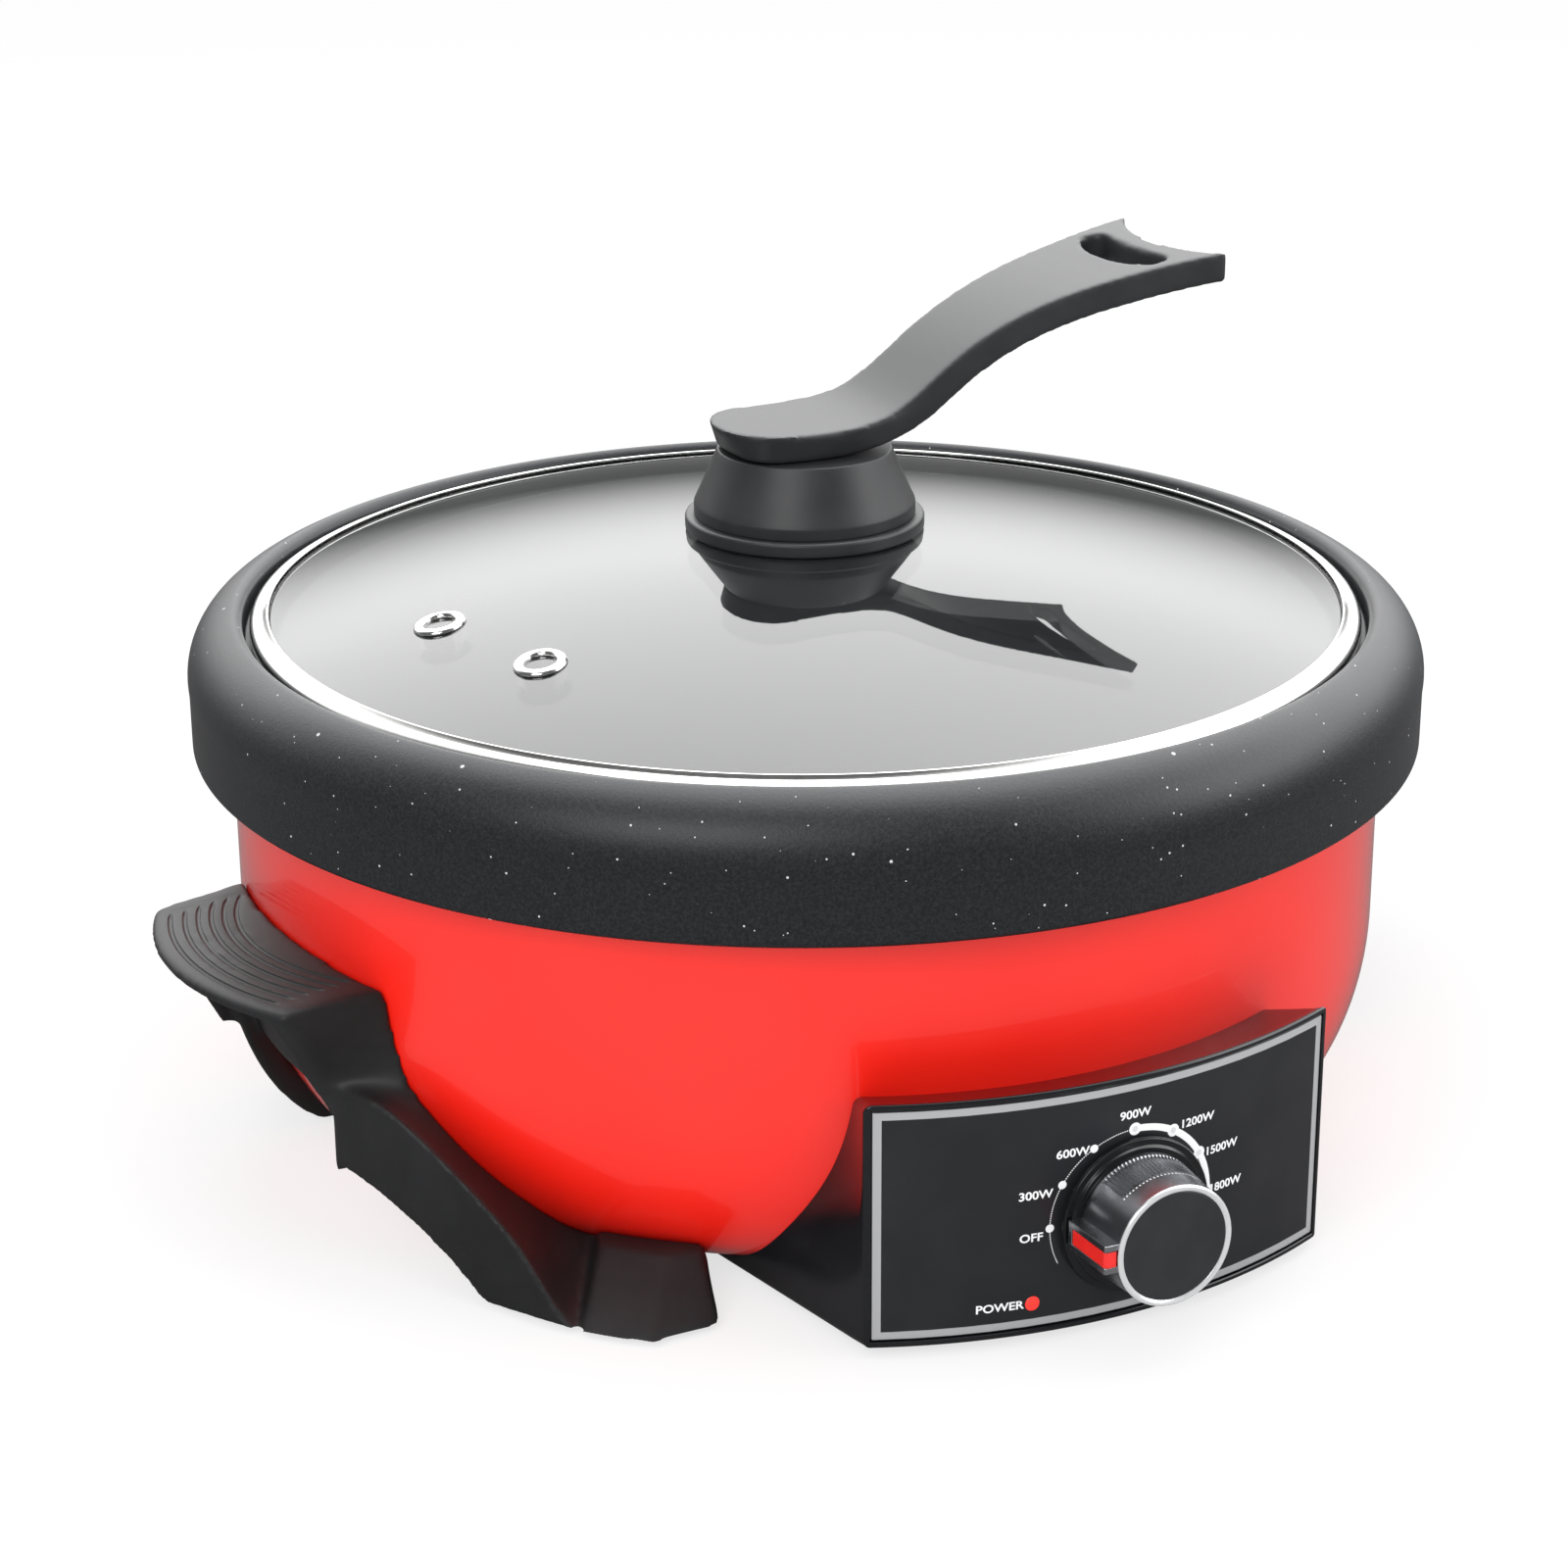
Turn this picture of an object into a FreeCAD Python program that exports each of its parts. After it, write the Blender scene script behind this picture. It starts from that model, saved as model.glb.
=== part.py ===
"""Electric hot pot with a lift-off glass lid: every piece as its own solid, millimetres, +Z up.

The pieces are modelled about the pot's own axis, with z = 0 on the table, and moved at export so
that the frame's origin is the bottom centre of the whole object's box. The control panel faces -Y.
"""
import FreeCAD
import Part
from FreeCAD import Vector as V
from math import asin, cos, degrees, hypot, pi, radians, sin, sqrt
import os

os.makedirs("parts", exist_ok=True)

# ---- driving dimensions ------------------------------------------------------------------------
LID_RADIUS = 160.0            # a standard 320 mm glass lid, over its steel rim
POT_RADIUS = 178.0            # outside of the pot's deep skirt
SKIRT_LOW_Z = 111.0
RIM_TOP_Z = 149.2
LID_SEAT_Z = 142.0
POT_FLOOR_Z = 46.3            # outside of the pot's bottom
POT_WALL = 3.6

SHELL_RADIUS = 166.8
SHELL_TOP_Z = 124.0
SHELL_LOW_Z = 4.6
SHELL_SHEET = 1.4
BOWL_TOP_Z = 59.5             # where the straight wall turns into the bowl
FLAT_R = 133.0                # the bowl is a quarter ellipse that ends in a flat bottom of this radius

GLASS = 4.0
GLASS_RISE = 22.0             # height of the dome over its rim
GLASS_RIM_R = 157.0
GLASS_RIM_Z = 147.0           # top face of the glass at its rim

PANEL_RADIUS = 167.5          # the control panel is a slice of this cylinder
PANEL_AXIS_Y = -19.9
PANEL_HALF_WIDTH = 67.3
PANEL_LOW_Z = 5.2
PANEL_TOP_Z = 70.2
HOUSING_LIP = 1.7
KNOB_X = 1.5
KNOB_Z = 33.0
KNOB_RADIUS = 16.8
KNOB_STAND_OUT = 21.2
LAMP_X = -26.1
LAMP_Z = 12.1

HANDLE_TURN = 5.8             # the side handles sit this many degrees forward of the middle
LEG_RADIUS = 178.0
FOOT_Z = 1.8                  # underside of the leg's foot; the rubber pad fills the rest

PLATE_TOP_Z = 46.0
PLATE_RADIUS = 98.0

SILHOUETTE_FRONT = PANEL_RADIUS - PANEL_AXIS_Y + KNOB_STAND_OUT
AXIS_Y = (SILHOUETTE_FRONT - POT_RADIUS) / 2.0   # pot axis behind the origin

UP = V(0, 0, 1)
ORIGIN = V(0, 0, 0)


# ---- helpers -----------------------------------------------------------------------------------
def export(shape, node):
    """Write one node, moved from the pot's axis to the frame's origin."""
    placed = shape.copy()
    placed.translate(V(0, AXIS_Y, 0))
    placed.exportStep("parts/" + node + ".step")
    print(node, len(shape.Solids), "solid(s)", round(shape.Volume / 1000.0, 1), "cm3", shape.isValid())


def wire_of(to_point, start, steps):
    """Closed wire from lines (a point) and arcs (a pair: point on the arc, end point)."""
    edges = []
    here = to_point(start)
    for step in steps + [start]:
        if isinstance(step[0], tuple):
            edges.append(Part.Arc(here, to_point(step[0]), to_point(step[1])).toShape())
            here = to_point(step[1])
        elif (to_point(step) - here).Length > 1e-6:
            edges.append(Part.LineSegment(here, to_point(step)).toShape())
            here = to_point(step)
    return Part.Wire(edges)


def turned(start, *steps):
    """Solid of revolution about Z from an outline of (radius, z) steps."""
    outline = wire_of(lambda p: V(p[0], 0, p[1]), start, list(steps))
    return Part.Face(outline).revolve(ORIGIN, UP, 360)


def slab(z_low, z_high, start, *steps):
    """Upright prism from an outline of (x, y) steps."""
    outline = wire_of(lambda p: V(p[0], p[1], z_low), start, list(steps))
    return Part.Face(outline).extrude(V(0, 0, z_high - z_low))


def rod(radius, start, end):
    """Solid round bar between two points."""
    along = end - start
    return Part.makeCylinder(radius, along.Length, start, along)


def tube(radius, bore, start, end):
    """Round bar with a hole along it."""
    along = end - start
    return rod(radius, start, end).cut(rod(bore, start - along, end + along))


def union(shapes):
    """One shape from several that touch or overlap."""
    joined = shapes[0].fuse(shapes[1:]) if len(shapes) > 1 else shapes[0]
    return joined.removeSplitter()


def group(shapes):
    """Several separate solids kept in one node."""
    return Part.makeCompound(shapes)


def about_z(shape, angle):
    """Copy turned about the pot's axis."""
    copy = shape.copy()
    copy.rotate(ORIGIN, UP, angle)
    return copy


def mirrored_y(shape):
    return shape.mirror(ORIGIN, V(0, 1, 0))


def mirrored_x(shape):
    return shape.mirror(ORIGIN, V(1, 0, 0))


def polar(radius, angle, z):
    """Point at an angle in degrees about the pot's axis."""
    return V(radius * cos(radians(angle)), radius * sin(radians(angle)), z)


def smooth(points):
    """Curve through a few points."""
    curve = Part.BSplineCurve()
    curve.interpolate(points)
    return curve.toShape()


def long_edges(shape, test):
    """Edges whose middle point passes a test."""
    chosen = []
    for edge in shape.Edges:
        middle = edge.valueAt((edge.FirstParameter + edge.LastParameter) / 2.0)
        if test(middle):
            chosen.append(edge)
    return chosen


# ---- the bowl's outline, which every piece on it follows ---------------------------------------
def bowl_radius(z):
    """Outside of the red shell: straight above BOWL_TOP_Z, a quarter ellipse below it."""
    fall = min(max((BOWL_TOP_Z - z) / (BOWL_TOP_Z - SHELL_LOW_Z), 0.0), 1.0)
    return FLAT_R + (SHELL_RADIUS - FLAT_R) * sqrt(1.0 - fall ** 2)


def bowl_block(inset, top_z):
    """Everything inside the shell's outline, moved in by inset, as one solid."""
    centre = V(FLAT_R, 0, BOWL_TOP_Z)
    low = V(FLAT_R, 0, SHELL_LOW_Z + inset)
    bend = V(SHELL_RADIUS - inset, 0, BOWL_TOP_Z)
    top = V(bend.x, 0, top_z)
    curve = Part.Arc(Part.Ellipse(low, bend, centre), 0.0, pi / 2).toShape()
    corners = [bend, top, V(0, 0, top_z), V(0, 0, low.z), low]
    edges = [curve] + [Part.LineSegment(a, b).toShape() for a, b in zip(corners, corners[1:])]
    outline = Part.Wire(Part.__sortEdges__(edges))
    return Part.Face(outline).revolve(ORIGIN, UP, 360)


# ---- pot ---------------------------------------------------------------------------------------
def inner_pot():
    """Cast pot: flat bottom, deep wall, lid seat and the wide rolled skirt, as one casting."""
    bottom_r, wall_r, wall = 108.0, 151.0, POT_WALL
    floor = POT_FLOOR_Z
    crest_r = POT_RADIUS - 13.0
    return turned(
        (0, floor), (bottom_r, floor),
        ((141.5, floor + 16.0), (wall_r, floor + 48.0)),
        (wall_r + 0.8, 132.0),
        ((wall_r + 2.5, 136.2), (wall_r + 6.7, 138.0)),
        (POT_RADIUS - 9.0, 138.0),
        ((POT_RADIUS - 5.2, 136.2), (POT_RADIUS - wall - 0.4, 132.0)),
        (POT_RADIUS - wall, SKIRT_LOW_Z + 1.0),
        ((POT_RADIUS - wall + 0.6, SKIRT_LOW_Z), (POT_RADIUS - 1.6, SKIRT_LOW_Z)),
        ((POT_RADIUS - 0.5, SKIRT_LOW_Z + 0.5), (POT_RADIUS, SKIRT_LOW_Z + 1.8)),
        (POT_RADIUS, RIM_TOP_Z - 20.6),
        ((crest_r + 13.0 * cos(pi / 4), RIM_TOP_Z - 20.6 + 20.6 * sin(pi / 4)), (crest_r, RIM_TOP_Z)),
        ((crest_r - 2.2, RIM_TOP_Z - 0.9), (crest_r - 3.0, RIM_TOP_Z - 3.2)),
        (crest_r - 3.2, LID_SEAT_Z + 0.8),
        ((crest_r - 3.5, LID_SEAT_Z + 0.2), (crest_r - 4.1, LID_SEAT_Z)),
        (wall_r + 1.5, LID_SEAT_Z),
        ((wall_r - 1.0, LID_SEAT_Z - 1.2), (wall_r - wall + 0.5, LID_SEAT_Z - 4.5)),
        (wall_r - wall, floor + 50.0),
        ((138.0, floor + 19.2), (bottom_r - 4.0, floor + wall)),
        (0, floor + wall))


# ---- lid ---------------------------------------------------------------------------------------
DOME_RADIUS = (GLASS_RIM_R ** 2 + GLASS_RISE ** 2) / (2.0 * GLASS_RISE)
DOME_CENTRE_Z = GLASS_RIM_Z + GLASS_RISE - DOME_RADIUS
VENT_RADIUS = 116.0
VENT_ANGLES = (-176.0, -153.5)
VENT_BORE = 4.3


def dome_z(radius):
    """Height of the glass's top face."""
    return DOME_CENTRE_Z + sqrt(DOME_RADIUS ** 2 - radius ** 2)


def along_vent(angle, reach):
    """Point on a vent's own axis, which is square to the glass there."""
    foot = polar(VENT_RADIUS, angle, dome_z(VENT_RADIUS))
    centre = V(0, 0, DOME_CENTRE_Z)
    return foot + (foot - centre).normalize() * reach


def lid_glass():
    """Domed tempered glass with a screw hole in the middle and two vent holes."""
    outer = Part.makeSphere(DOME_RADIUS, V(0, 0, DOME_CENTRE_Z))
    inner = Part.makeSphere(DOME_RADIUS - GLASS, V(0, 0, DOME_CENTRE_Z))
    disc = rod(GLASS_RIM_R, V(0, 0, 100), V(0, 0, 200))
    glass = disc.common(outer).cut(inner)
    glass = glass.cut(rod(4.2, V(0, 0, 100), V(0, 0, 200)))
    for angle in VENT_ANGLES:
        glass = glass.cut(rod(VENT_BORE + 1.2, along_vent(angle, -20), along_vent(angle, 20)))
    return glass


def lid_rim_ring():
    """Rolled steel channel that wraps the edge of the glass."""
    out, seat = LID_RADIUS, LID_SEAT_Z + 0.3
    glass_top, glass_low = GLASS_RIM_Z, GLASS_RIM_Z - GLASS
    return turned(
        (out - 5.6, glass_top + 1.7),
        ((out - 5.4, glass_top + 2.0), (out - 4.7, glass_top + 1.7)),
        (out - 3.9, glass_top + 0.9),
        ((out - 3.1, glass_top + 0.7), (out - 2.6, glass_top + 0.9)),
        ((out - 0.5, glass_top - 0.2), (out, glass_top - 2.2)),
        (out, seat + 1.2),
        ((out - 0.5, seat + 0.3), (out - 1.6, seat)),
        (out - 5.8, seat),
        ((out - 6.2, seat + 0.2), (out - 6.3, seat + 0.5)),
        (out - 6.3, glass_low - 0.22), (GLASS_RIM_R + 0.1, glass_low - 0.22),
        (GLASS_RIM_R + 0.1, glass_top + 0.05), (out - 5.0, glass_top + 0.75))


def vent_grommets():
    """Two pressed steel eyelets through the glass."""
    eyelets = []
    for angle in VENT_ANGLES:
        low, high = along_vent(angle, -GLASS - 1.0), along_vent(angle, 1.3)
        neck = rod(VENT_BORE + 1.1, low, high)
        cap = Part.makeCone(7.4, 6.2, 1.2, along_vent(angle, 0.15), high - low)
        under = rod(6.8, along_vent(angle, -GLASS - 1.0), along_vent(angle, -GLASS - 0.15))
        eyelet = union([neck, cap, under])
        eyelets.append(eyelet.cut(rod(VENT_BORE, along_vent(angle, -20), along_vent(angle, 20))))
    return group(eyelets)


FLANGE_RADIUS = 34.5
FLANGE_TOP_Z = 172.4
NECK_TOP_Z = 191.68


def lid_knob_gasket():
    """Silicone washer between the glass and the knob's flange."""
    return turned((5.0, dome_z(5.0) + 0.02), ((18.0, dome_z(18.0) + 0.03), (31.0, dome_z(31.0) + 0.03)),
                  (31.0, dome_z(31.0) + 0.47), ((18.0, dome_z(18.0) + 0.47), (5.0, dome_z(5.0) + 0.47)))


def lid_knob_flange():
    """Wide moulded ring at the foot of the lid's knob, hollowed to the dome's curve."""
    top, r = FLANGE_TOP_Z, FLANGE_RADIUS
    return turned(
        (5.0, dome_z(5.0) + 0.5), ((18.0, dome_z(18.0) + 0.5), (31.1, dome_z(31.1) + 0.5)),
        (31.2, dome_z(31.2) + 0.15), (r - 1.0, dome_z(r) + 0.2),
        ((r - 0.2, dome_z(r) + 0.5), (r, dome_z(r) + 1.3)),
        (r, top - 0.9), ((r - 0.3, top - 0.3), (r - 1.0, top)),
        (26.0, top), (26.0, top - 1.1), (5.0, top - 1.1))


def lid_knob_neck():
    """Bell-shaped neck that lifts the handle off the glass."""
    base = FLANGE_TOP_Z
    return turned(
        (5.0, base - 1.05), (25.9, base - 1.05), (25.9, base + 0.02), (31.6, base + 0.02), (31.9, base + 0.4),
        (31.9, base + 3.4), ((28.0, base + 12.1), (25.0, NECK_TOP_Z)),
        (5.0, NECK_TOP_Z))


HANDLE_THICK = 8.4
HANDLE_TIP_X = 122.5
HEAD_Z = 200.2                # top of the handle where it sits on the neck
# top face of the handle from the side: (distance from the knob's axis, height)
HANDLE_RISE = [(-30.0, HEAD_Z), (-10.0, HEAD_Z), (6.0, HEAD_Z + 0.2), (20.5, 203.4), (32.0, 210.6),
               (44.0, 219.0), (68.0, 230.2), (92.0, 236.3), (115.0, 240.2), (128.0, 241.6)]
# the handle's edge from above, from the round head to the flared end: (distance, half width)
HANDLE_EDGE = [(-27.7, 0.0), (-25.8, 9.0), (-20.5, 16.2), (-10.0, 19.3), (2.0, 19.7), (16.0, 18.6),
               (32.0, 17.6), (62.0, 19.8), (96.0, 24.8), (HANDLE_TIP_X, 29.3)]


def handle_side():
    """The bar seen from the side, as a solid slab to be trimmed to the handle's plan."""
    top = [V(x, -50, z) for x, z in HANDLE_RISE]
    low = []
    for i, (x, z) in enumerate(HANDLE_RISE):
        before, after = HANDLE_RISE[max(i - 1, 0)], HANDLE_RISE[min(i + 1, len(HANDLE_RISE) - 1)]
        run, rise = after[0] - before[0], after[1] - before[1]
        length = hypot(run, rise)
        low.append(V(x + HANDLE_THICK * rise / length, -50, z - HANDLE_THICK * run / length))
    edges = [smooth(top), Part.LineSegment(top[-1], low[-1]).toShape(), smooth(low),
             Part.LineSegment(low[0], top[0]).toShape()]
    return Part.Face(Part.Wire(Part.__sortEdges__(edges))).extrude(V(0, 100, 0))


def handle_outline(z, inset):
    """Outline from above at one height: round head, narrow waist, flared end with a hollow edge."""
    half = [(max(x, -27.7 + 1.6 * inset) if x < 0 else x, max(y - inset, 0.0)) for x, y in HANDLE_EDGE]
    far = smooth([V(x, y, z) for x, y in half])
    near = smooth([V(x, -y, z) for x, y in reversed(half)])
    tip = half[-1][1]
    hollow = Part.Arc(V(HANDLE_TIP_X, tip, z), V(HANDLE_TIP_X - 8.8, 0, z), V(HANDLE_TIP_X, -tip, z)).toShape()
    return Part.Wire([far, hollow, near])


def handle_plan():
    """Upright block of the handle's outline, drawn in towards the bottom of its head."""
    straight = Part.Face(handle_outline(HEAD_Z, 0.0)).extrude(V(0, 0, 60))
    drawn_in = Part.makeLoft([handle_outline(HEAD_Z - 12.0, 3.6), handle_outline(HEAD_Z, 0.0)], True, True)
    return straight.fuse(drawn_in)


def hanging_slot():
    """Curved slot across the flared end, parallel to its hollow edge."""
    return slab(170, 260, (100.0, -16.5), ((96.2, 0), (100.0, 16.5)), ((104.4, 20.2), (108.6, 16.0)),
                ((107.2, 0), (108.6, -16.0)), ((104.4, -20.2), (100.0, -16.5)))


def lid_handle():
    """Long cranked bar of the lid, with a slot at its end to hang the lid up by."""
    bar = handle_side().common(handle_plan()).removeSplitter().cut(hanging_slot())
    return bar.cut(rod(2.3, V(0, 0, 180), V(0, 0, 196)))


def lid_screw():
    """Screw from under the glass into the handle, with its pressed cup washer head."""
    under = dome_z(0) - GLASS
    head = turned((0, under - 3.4), (3.6, under - 3.4), ((4.4, under - 3.1), (4.8, under - 2.2)),
                  (4.8, under - 0.9), (0, under - 0.9))
    return union([head, rod(2.2, V(0, 0, under - 1.0), V(0, 0, 195))])


def lid_cup_washer():
    """Shallow steel cup that spreads the screw's pull over the glass."""
    under = dome_z(0) - GLASS
    return turned((2.4, under - 0.9), (13.0, under - 0.9), (16.0, dome_z(16.0) - GLASS - 0.25),
                  (16.0, dome_z(16.0) - GLASS - 0.05), (2.4, under - 0.05))


# ---- red shell and what closes it --------------------------------------------------------------
def outer_shell():
    """Drawn steel shell: straight collar, bowl and a flat edge turned in at the bottom."""
    skin = bowl_block(0.0, SHELL_TOP_Z).cut(bowl_block(SHELL_SHEET, SHELL_TOP_Z + 1.0))
    skin = skin.cut(rod(BASE_R - 8.0, V(0, 0, 0), V(0, 0, SHELL_LOW_Z + 3.0)))
    window = slab(16.0, 58.0, (-34, -190), (34, -190), (34, -90), (-34, -90))
    cord_hole = rod(9.0, V(0, 120, 19.0), V(0, 190, 19.0))
    screw_holes = [rod(2.0, start, end) for start, end in frame_screw_lines()]
    return skin.cut(window).cut(cord_hole).cut(screw_holes)


def shell_top_ring():
    """Heat-proof ring inside the shell's top edge, which keeps the pot in the middle."""
    inside = SHELL_RADIUS - SHELL_SHEET - 0.05
    return turned((153.4, 116.0), ((154.0, 114.6), (155.6, 114.0)), (inside, 114.0), (inside, SHELL_TOP_Z),
                  (SHELL_RADIUS, SHELL_TOP_Z), (SHELL_RADIUS, SHELL_TOP_Z + 1.0),
                  ((163.0, SHELL_TOP_Z + 3.4), (158.0, SHELL_TOP_Z + 2.6)), (153.4, 119.0))


BASE_R = FLAT_R - 1.0


def base_cover():
    """Moulded bottom cover with rings of air slots, ribs and screw bosses."""
    r, low = BASE_R, 3.0
    plate = turned((0, 5.0), (62, 5.0), (66, low), (r - 1.5, low), ((r - 0.4, low + 0.4), (r, SHELL_LOW_Z)),
                   (r - 9, SHELL_LOW_Z), (r - 9, low + 2.6), (67, low + 2.6), (63, 7.4), (0, 7.4))
    slots = []
    for ring_r, count in ((80.0, 18), (96.0, 22)):
        for i in range(count):
            slot = slab(0, 12, (ring_r - 6, -1.7), (ring_r + 6, -1.7), ((ring_r + 7.7, 0), (ring_r + 6, 1.7)),
                        (ring_r - 6, 1.7), ((ring_r - 7.7, 0), (ring_r - 6, -1.7)))
            slots.append(about_z(slot, 360.0 * i / count))
    plate = plate.cut(slots)
    bosses = [rod(5.0, V(x, y, 5.5), V(x, y, 14.0)) for x, y in STAND_OFFS]
    return union([plate] + bosses).cut([rod(1.9, V(x, y, 0.0), V(x, y, 20.0)) for x, y in STAND_OFFS])


STAND_OFFS = [(55.0 * cos(radians(a)), 55.0 * sin(radians(a))) for a in (30, 150, 270)]


# ---- control housing ---------------------------------------------------------------------------
HOUSING_R = PANEL_RADIUS + 0.4
HOUSING_HALF = PANEL_HALF_WIDTH + HOUSING_LIP
HOUSING_LOW_Z = 3.2
HOUSING_TOP_Z = 71.9
LEDGE_FALL = 0.357            # slope of the housing's top, down towards the shell
HOUSING_BACK_Y = -108.0
# half width of the housing at HOUSING_BACK_Y by height: it spreads at the foot and draws in at the top
HOUSING_SPREAD = [(0.0, 83.4), (18.8, 81.8), (29.0, 77.5), (37.5, 70.7), (45.3, 62.6), (57.0, 51.8), (75.0, 38.0)]


def panel_y(x, radius):
    """Front of the curved panel at a sideways place."""
    return PANEL_AXIS_Y - sqrt(radius ** 2 - x ** 2)


def housing_side(inset):
    """Space at the housing's left side, whose wall turns from spreading to drawing in as it rises."""
    front = V(-HOUSING_HALF, panel_y(HOUSING_HALF, HOUSING_R), 0)
    sections = []
    for z, half in HOUSING_SPREAD:
        run = V(-half, HOUSING_BACK_Y, 0) - front
        near, far = front - run * 0.5, front + run
        corners = [near, far, far + V(0, 60, 0), V(-190, far.y + 60, 0), V(-190, near.y, 0), near]
        sections.append(Part.makePolygon([corner + V(inset, 0, z) for corner in corners]))
    return Part.makeLoft(sections, True, False)


def housing_prism(inset, z_low, z_high, back_y):
    """Upright block with the panel's curved front between the housing's two side walls."""
    r = HOUSING_R - inset
    wide = 88.0
    front = panel_y(wide, r)
    block = slab(z_low, z_high, (-wide, front), ((0, panel_y(0, r)), (wide, front)), (wide, back_y), (-wide, back_y))
    side = housing_side(inset)
    return block.cut(side).cut(mirrored_x(side))


def ledge_cut(lower):
    """Space over the housing's top, which slopes down from its front edge to the shell."""
    r = HOUSING_R + 0.02
    top = HOUSING_TOP_Z - lower
    front = Part.Arc(V(-95, panel_y(95, r), top), V(0, panel_y(0, r), top), V(95, panel_y(95, r), top))
    slope = front.toShape().extrude(V(0, 100, -100 * LEDGE_FALL))
    return slope.extrude(V(0, 0, 80))


def control_housing():
    """Open-backed moulded housing that grows out of the shell and carries the panel."""
    block = housing_prism(0.0, HOUSING_LOW_Z, HOUSING_TOP_Z, -60.0).cut(ledge_cut(0.0))
    corners = long_edges(block, lambda p: abs(abs(p.x) - HOUSING_HALF) < 0.5 and 30 < p.z < 50)
    block = block.makeFillet(1.6, corners)
    inside = housing_prism(2.4, HOUSING_LOW_Z + 2.2, HOUSING_TOP_Z, -50.0).cut(ledge_cut(2.4))
    recess = panel_slice(PANEL_HALF_WIDTH + 0.05, PANEL_LOW_Z - 0.05, PANEL_TOP_Z + 0.05,
                         PANEL_RADIUS - 2.05, HOUSING_R + 3.0)
    opening = panel_slice(PANEL_HALF_WIDTH - 5.0, PANEL_LOW_Z + 4.0, PANEL_TOP_Z - 4.0, 150.0, HOUSING_R + 3.0)
    ribs = [slab(HOUSING_LOW_Z + 2.0, 10.0, (x - 1, -150), (x + 1, -150), (x + 1, -182), (x - 1, -182))
            for x in (-40.0, 40.0)]
    block = union([block.cut(inside)] + ribs).cut(recess).cut(opening)
    block = block.cut(bowl_block(0.0, 120.0)).cut(rod(BASE_R + 3, V(0, 0, -5), V(0, 0, SHELL_LOW_Z)))
    return largest(block)


def largest(shape):
    """The main solid of a cut that also leaves crumbs."""
    return max(shape.Solids, key=lambda s: s.Volume)


def panel_slice(half_width, z_low, z_high, r_in, r_out):
    """Piece of the panel's cylinder wall."""
    outer = Part.makeCylinder(r_out, z_high - z_low, V(0, PANEL_AXIS_Y, z_low))
    inner = Part.makeCylinder(r_in, z_high - z_low, V(0, PANEL_AXIS_Y, z_low))
    keep = slab(z_low, z_high, (-half_width, -230), (half_width, -230), (half_width, -110), (-half_width, -110))
    return outer.cut(inner).common(keep)


def control_faceplate():
    """Curved black plate with the dial's print, drilled for the shaft and the lamp."""
    plate = panel_slice(PANEL_HALF_WIDTH, PANEL_LOW_Z, PANEL_TOP_Z, PANEL_RADIUS - 2.0, PANEL_RADIUS)
    shaft_hole = rod(5.2, V(KNOB_X, -170, KNOB_Z), V(KNOB_X, -200, KNOB_Z))
    lamp_hole = rod(2.45, V(LAMP_X, -170, LAMP_Z), V(LAMP_X, -200, LAMP_Z))
    return plate.cut(shaft_hole).cut(lamp_hole)


# ---- control knob ------------------------------------------------------------------------------
FACE_Y = panel_y(0, PANEL_RADIUS)
KNOB_Y = FACE_Y - KNOB_STAND_OUT


def knob_turned(start, *steps):
    """Solid of revolution about the knob's shaft from (radius, distance out of the panel) steps."""
    solid = turned(start, *steps)
    solid.rotate(ORIGIN, V(1, 0, 0), 90)
    solid.translate(V(KNOB_X, FACE_Y, KNOB_Z))
    return solid


def knob_skirt():
    """Black disc behind the grip."""
    return knob_turned((3.2, 0.7), (20.9, 0.7), ((21.5, 0.9), (21.7, 1.3)), (21.4, 2.2), (19.8, 2.3),
                       (19.4, 3.2), (3.2, 3.2))


GRIP_START = 3.2              # distances out of the panel
GRIP_END = KNOB_STAND_OUT - 0.9
FIN_HALF = 4.0


def knob_side_block(profile, half):
    """Block on the knob's left side from (offset from the shaft, distance out of the panel) points."""
    outline = wire_of(lambda p: V(KNOB_X + p[0], FACE_Y - p[1], KNOB_Z - half), profile[0], profile[1:])
    return Part.Face(outline).extrude(V(0, 0, 2 * half))


def knob_barrel():
    """Metal-look grip with fine flutes and the pointer's housing down one side."""
    body = knob_turned((3.2, GRIP_START), (17.9, GRIP_START), (KNOB_RADIUS - 0.3, GRIP_END), (15.2, GRIP_END),
                       (15.2, GRIP_END - 1.6), (3.2, GRIP_END - 1.6))
    flutes = []
    for i in range(24):
        angle = radians(48.0 + 84.0 * i / 23)
        x, z = 18.15 * cos(angle), 18.15 * sin(angle)
        flutes.append(rod(0.62, V(KNOB_X + x, FACE_Y - 4.0, KNOB_Z + z), V(KNOB_X + x, FACE_Y - 13.0, KNOB_Z + z)))
    fin = knob_side_block([(-14.0, GRIP_START), (-21.1, GRIP_START), (-20.3, GRIP_END - 0.5), (-19.8, GRIP_END),
                           (-14.0, GRIP_END)], FIN_HALF)
    groove = knob_side_block([(-30.0, 5.0), (-19.6, 5.0), (-18.8, GRIP_END - 1.2), (-15.2, GRIP_END - 1.2),
                              (-15.2, GRIP_END + 5.0), (-30.0, GRIP_END + 5.0)], 2.2)
    recess = knob_turned((0, GRIP_END - 1.6), (15.2, GRIP_END - 1.6), (15.2, GRIP_END + 3.0), (0, GRIP_END + 3.0))
    return union([body.cut(flutes), fin]).cut(recess).cut(groove)


def knob_pointer():
    """Red insert that shows the setting and turns over onto the knob's face."""
    return knob_side_block([(-19.65, 5.05), (-21.0, 5.05), (-20.4, GRIP_END - 0.6), (-19.7, GRIP_END + 0.2),
                            (-17.0, GRIP_END + 0.2), (-17.0, GRIP_END - 1.15), (-18.85, GRIP_END - 1.15)], 2.15)


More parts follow.
